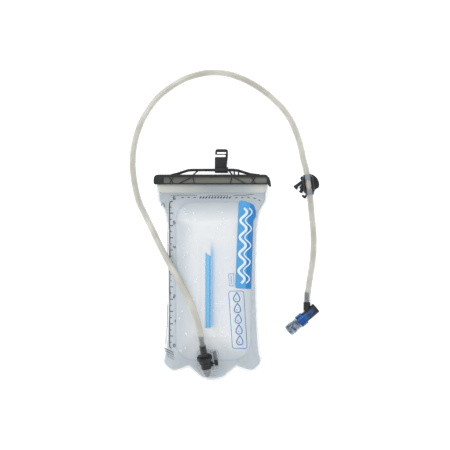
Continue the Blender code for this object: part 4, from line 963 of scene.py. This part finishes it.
outline = [(26.5, -38.5), (44.5, -38.5), (46.6, -40.5), (51.6, -121), (49.6, -124), (32.5, -124), (29.8, -122)]
outline += [(24.2, -41)]
blue_lines = [stroke(outline, 0.75, closed=True)]
blue_lines.append(stroke([(24.2, -13), (31.6, -12.4), (32.2, -30.5), (25.2, -31)], 0.6, closed=True))
zigzag = [(26.8, -16), (29, -18), (26.9, -20), (29.2, -22), (27.1, -24), (29.4, -26), (27.3, -28)]
blue_lines.append(stroke(zigzag, 0.6))
for k in range(5):
    middle_x, middle_y = 36.2 + 1.15 * k, -47.5 - 16 * k
    t = np.linspace(0, 2 * np.pi, 40, endpoint=False)
    drop_x = middle_x + 6.4 * np.sin(t) * np.sin(t / 2) ** 1.3
    blue_lines.append(stroke(np.stack([drop_x, middle_y + 7.0 * np.cos(t)], 1), 1.4, closed=True, step=0.5))
    blue_lines.append(stroke([(middle_x - 2.0, middle_y - 2.2), (middle_x, middle_y - 4.0)], 1.0))
ink("drop_panel", blue_lines, deep_ink)


# ---------------------------------------------------------------- water beads
# Drops and small bubbles that cling to the film: low glassy domes, and rings where a bubble stands open.

# Water: clear and glossy, with a bright body, because each bead gathers the light from all round it
bead_finish, tree, shader = new_finish("clinging water", Roughness=0.04, IOR=1.33, Alpha=0.75)
where = add(tree, "ShaderNodeTexCoord").outputs["Object"]
cloud = add(tree, "ShaderNodeTexNoise", {"Vector": where, "Scale": 300.0})
tint = add(tree, "ShaderNodeValToRGB", {"Fac": cloud.outputs["Fac"]}, ((0.0, "f2f6f8"), (1.0, "ffffff")))
tree.links.new(tint.outputs["Color"], shader.inputs["Base Color"])

BEAD_COUNT = 84
BEAD_LIMIT = 2.1 * MM
RING_FROM = 1.15 * MM  # a bubble of this radius or more stands open, as a ring
RING_ROLL = 0.28 * MM
BEAD_SINK = 0.08 * MM
draw = np.random.default_rng(42)
beads = []
while len(beads) < BEAD_COUNT:
    x, y = draw.uniform(-50, 33) * MM, draw.uniform(-128, 84) * MM
    size = draw.gamma(1.6, 0.42) * MM + 0.35 * MM
    clear_of_baffle = abs(x - BAFFLE_X) > BAFFLE_HALF + 3 * MM
    clear_of_port = np.hypot(x - PAD_MIDDLE[0], y - PAD_MIDDLE[1]) > 34 * MM
    if not (clear_of_baffle and clear_of_port and size < BEAD_LIMIT):
        continue
    ground = film_top(np.array([x]), np.array([y]))[0]
    spot = np.array((x, y, ground - BEAD_SINK))
    if size > RING_FROM:
        turn = np.linspace(0, 2 * np.pi, 7)[:-1]
        line = np.stack([size + RING_ROLL * np.cos(turn), RING_ROLL * np.sin(turn)], 1)
    else:
        turn = np.linspace(0, np.pi / 2, 5)
        line = np.stack([size * np.cos(turn), 0.55 * size * np.sin(turn)], 1)
        line = np.concatenate([[(0, 0)], line])
    centres = spot + line[:, 1:] * UP
    flat_x = np.tile((1.0, 0.0, 0.0), (len(line), 1))
    flat_y = np.tile((0.0, 1.0, 0.0), (len(line), 1))
    beads.append(rings(centres, flat_x, flat_y, line[:, 0], 14, wrap=size > RING_FROM))
water_beads = piece("water_beads", beads, bead_finish)
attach(water_beads, "bag")


# ---------------------------------------------------------------- mouth rails
# Two stiff strips of the same plastic, welded outside the film along the mouth, each with a bead along its
# top for the slider to grip. Extruded, a little yellowed at one end.

# Stiff extrusion: clear enough to show what lies under it, paler at its ends, with fine lines from the die
rail_finish, tree, shader = new_finish("stiff clear extrusion", Roughness=0.22, IOR=1.5, Alpha=0.78)
where = add(tree, "ShaderNodeTexCoord").outputs["Object"]
spread = add(tree, "ShaderNodeSeparateXYZ", {"Vector": where})
across = add(tree, "ShaderNodeMapRange", {"Value": spread.outputs["X"], "From Min": -0.08, "From Max": 0.08})
tones = ((0.0, "d2d2c8"), (0.22, "c2c4bd"), (0.5, "a9b0b2"), (0.78, "b3b9ba"), (0.96, "d0d3cc"), (1.0, "c8cbc6"))
ramp = add(tree, "ShaderNodeValToRGB", {"Fac": across.outputs["Result"]}, tones)
streak = add(tree, "ShaderNodeMapping", {"Vector": where, "Scale": (6.0, 260.0, 260.0)})
lines = add(tree, "ShaderNodeTexNoise", {"Vector": streak.outputs["Vector"], "Scale": 1.0, "Detail": 3.0})
bump = add(tree, "ShaderNodeBump", {"Height": lines.outputs["Fac"], "Strength": 0.2, "Distance": 0.0003})
tree.links.new(ramp.outputs["Color"], shader.inputs["Base Color"])
tree.links.new(bump.outputs["Normal"], shader.inputs["Normal"])
dress(rail_finish, "mouth_rail_front", "mouth_rail_back")


# ---------------------------------------------------------------- slide seal
# A C-shaped profile in smoke-tinted plastic grips the two rails. A black frame is moulded round it, with
# windows, thin ribs and the carrying arch, and is slid off sideways to open the bag.

# Smoke-tinted extrusion: warm dark grey, with light and dark lines drawn along it by the die
smoke, tree, shader = new_finish("smoke-tinted extrusion", Roughness=0.28, IOR=1.5, Alpha=0.9)
where = add(tree, "ShaderNodeTexCoord").outputs["Object"]
streak = add(tree, "ShaderNodeMapping", {"Vector": where, "Scale": (8.0, 300.0, 300.0)})
lines = add(tree, "ShaderNodeTexNoise", {"Vector": streak.outputs["Vector"], "Scale": 1.0, "Detail": 4.0})
tint = add(tree, "ShaderNodeValToRGB", {"Fac": lines.outputs["Fac"]}, ((0.3, "4e5047"), (0.75, "74766b")))
tree.links.new(tint.outputs["Color"], shader.inputs["Base Color"])
bump = add(tree, "ShaderNodeBump", {"Height": lines.outputs["Fac"], "Strength": 0.2, "Distance": 0.0003})
tree.links.new(bump.outputs["Normal"], shader.inputs["Normal"])
dress(smoke, "slider_channel")
dress(black_nylon, "slider_frame")


# ---------------------------------------------------------------- hanger hook
# A flexible black strip, moulded flat and wrapped round the arch, with a closed slot and an open one.

# Thermoplastic elastomer, moulded: softer black with a dull leathery grain
strap_black = moulded("black elastomer, moulded", "191a1c", "28292b", 0.9, 0.5)
dress(strap_black, "hanger_hook")


# ---------------------------------------------------------------- baffle
# A blue web welded between the panels, seen through the clear weld over its upper flange.

# Blue sheet with painted light across its width: lighter down its middle, where the upper flange lies flat under
# the film, as a painted highlight, and darker at its two welded edges as painted shade
baffle_finish, tree, shader = new_finish("sky-blue polyurethane sheet", Roughness=0.3, IOR=1.5)
where = add(tree, "ShaderNodeTexCoord").outputs["Object"]
spread = add(tree, "ShaderNodeSeparateXYZ", {"Vector": where})
width = {"Value": spread.outputs["X"], "From Min": BAFFLE_X - BAFFLE_HALF, "From Max": BAFFLE_X + BAFFLE_HALF}
across = add(tree, "ShaderNodeMapRange", width)
painted_light_blues = ((0.0, "0f84c4"), (0.2, "38b2e4"), (0.62, "4cbfea"), (0.8, "1c90ce"), (1.0, "0f78b8"))
ramp = add(tree, "ShaderNodeValToRGB", {"Fac": across.outputs["Result"]}, painted_light_blues)
tree.links.new(ramp.outputs["Color"], shader.inputs["Base Color"])
dress(baffle_finish, "baffle")


# ---------------------------------------------------------------- port
# A clear moulded foot welded on the film carries a pocket for the black socket. Round the socket's mouth is
# a scalloped collar, and beside it the thumb button that lets the plug go.

# Soft moulding, hardly tinted: it is seen by its bright wet edges more than by its body
clear_moulding, tree, shader = new_finish("clear flexible moulding", Roughness=0.12, IOR=1.5, Alpha=0.17)
shader.inputs["Coat Weight"].default_value = 0.4
where = add(tree, "ShaderNodeTexCoord").outputs["Object"]
cloud = add(tree, "ShaderNodeTexNoise", {"Vector": where, "Scale": 140.0, "Detail": 3.0})
tint = add(tree, "ShaderNodeValToRGB", {"Fac": cloud.outputs["Fac"]}, ((0.0, "c3cbd0"), (1.0, "f0f3f4")))
tree.links.new(tint.outputs["Color"], shader.inputs["Base Color"])
# Stainless wire, drawn: a bright metal with fine scratches
steel = moulded("stainless spring wire, drawn", "a9a9a6", "c4c4c1", 0.3, 0.25, Metallic=1.0)
# A grey thumb bar on a black foot: one nylon, moulded over the other, with the joint at a right angle to it
button_grey = moulded("grey nylon over black, moulded", "474b4f", "63686c", 1.0, 0.32)
tree = button_grey.node_tree
where = add(tree, "ShaderNodeTexCoord").outputs["Object"]
height = add(tree, "ShaderNodeSeparateXYZ", {"Vector": where}).outputs["Y"]
upper = add(tree, "ShaderNodeMapRange", {"Value": height, "From Min": -140.8 * MM, "From Max": -140.2 * MM})
colour = tree.nodes["Principled BSDF"].inputs["Base Color"]
mixed = {"Factor": upper.outputs["Result"], 6: linear("1d1e20"), 7: colour.links[0].from_socket}
both = add(tree, "ShaderNodeMix", mixed, data_type="RGBA")
tree.links.new(both.outputs[2], colour)
dress(button_grey, "release_button")
dress(silicone, "check_valve_poppet")
dress(steel, "valve_spring", "button_spring")

socket = [(7.9, 0.8), (7.9, -8.3), (9.2, -8.3), (9.2, -10.6), (7.5, -10.6), (7.5, -12.6), (7.05, -13.0)]
socket += [(7.05, -14.0)]
socket += [(7.5, -14.4), (7.5, -16.4), (7.05, -16.8), (7.05, -17.8), (7.5, -18.2), (7.5, -19.7), (6.6, -19.7)]
socket += [(6.6, -21.1), (7.5, -21.1), (7.5, -22), (6, -23), (6, -28.4), (3.8, -29.6), (3.8, -33), (2.2, -33)]
socket += [(2.2, -27), (4.4, -26.4), (4.4, -14.5), (3.4, -14.5), (3.4, -13), (5, -13), (5, 0.8)]
port_right = unit(np.cross(PORT_AXIS, UP))
boss = [(3.7, 6.2), (3.7, 11.0), (2.8, 11.0), (2.8, 7.7), (0, 7.7), (0, 6.2)]
BUTTON_DEPTH = 14.4 * MM
button_middle = port_mouth - PORT_AXIS * BUTTON_DEPTH
socket_body = piece(
    "socket_body",
    [
        turned(socket, port_mouth, PORT_AXIS, 0.2 * MM),
        turned(boss, button_middle, port_right, 0.2 * MM, sides=32),
    ],
    black_nylon,
)
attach(socket_body, "bag")
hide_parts("port_socket")


# The collar: nine finger scallops round its side, and its face turned in two steps
turn = np.linspace(0, 2 * np.pi, 144, endpoint=False)
SCALLOPS = 9
SCALLOP_DEPTH = 0.7 * MM
scallop = SCALLOP_DEPTH * np.maximum(np.cos(SCALLOPS * turn), 0) ** 3
face = [(8.2, 0), (8.2, -8), (9.0, -8), (9.2, -4.6), (11.3, -4.2), (11.3, -0.6), (10.7, 0), (9.9, 0)]
face = soften([*face, (9.7, -0.35), (9.2, -0.35), (9.0, 0)], 0.2 * MM)
reach = face[:, :1] - scallop * ease(9.9 * MM, 11.0 * MM, face[:, :1])
ones = np.ones((len(face), 1))
collar_up = np.cross(PORT_AXIS, port_right)
collar_places = port_mouth + face[:, 1:2] * PORT_AXIS
collar_side = rings(collar_places, ones * port_right, ones * collar_up, reach, len(turn), wrap=True)
port_ring = piece("finger_collar", [collar_side], black_nylon)
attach(port_ring, "bag")
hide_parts("port_collar")


FOOT_HALF_WIDTH = 16.8 * MM
FOOT_HALF_LENGTH = 16.9 * MM
FOOT_CORNER = 0.32


def foot_pad():
    """The foot: a rectangle with round corners on the port's slope, thin at its rim and crowned inside it. Its
    outline is cos and sin of the turn, each raised to the same small power with its sign kept."""
    turn = np.linspace(0, 2 * np.pi, 120, endpoint=False)
    x = FOOT_HALF_WIDTH * np.sign(np.cos(turn)) * np.abs(np.cos(turn)) ** FOOT_CORNER
    y = FOOT_HALF_LENGTH * np.sign(np.sin(turn)) * np.abs(np.sin(turn)) ** FOOT_CORNER
    slope = math.atan(PAD_SLOPE)
    across, ahead = np.array((1.0, 0.0, 0.0)), np.array((0.0, math.cos(slope), math.sin(slope)))
    up = np.cross(across, ahead)
    rows = [(0.0, 0.9), (1.0, 0.9), (1.0, 1.6), (0.965, 1.9), (0.93, 1.9), (0.91, 1.65), (0.4, 1.75), (0.0, 1.75)]
    share, level = (np.array(column)[:, None, None] for column in zip(*rows))
    spread = share * (x[:, None] * across + y[:, None] * ahead)
    return grid_part(PAD_MIDDLE + spread + level * MM * up, wrap_columns=True)


pocket = [(7.8, -18.6), (9.0, -18.6), (9.0, -25.5), (7.6, -30.5), (5.6, -34.5), (2.6, -36.8), (0, -37.2)]
pocket += [(0, -34.6), (4.3, -33.8), (6.4, -29.5), (7.8, -25)]
ladder = []
for row in range(6):
    start = np.array((1.2, -136.5 - 4.6 * row, 30.4 - 1.15 * row)) * MM
    line = start + np.linspace(0, 1, 8)[:, None] * np.array((7.4, -0.6, -0.15)) * MM
    ladder.append(rings(*walls_along(line), 0.6 * MM * np.array((0.01, 1, 1, 1, 1, 1, 1, 0.01)), 10))
foot_parts = [foot_pad(), turned(pocket, port_mouth, PORT_AXIS, 0.6 * MM), *ladder]
housing = piece("port_foot", foot_parts, clear_moulding)
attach(housing, "bag")
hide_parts("port_housing")
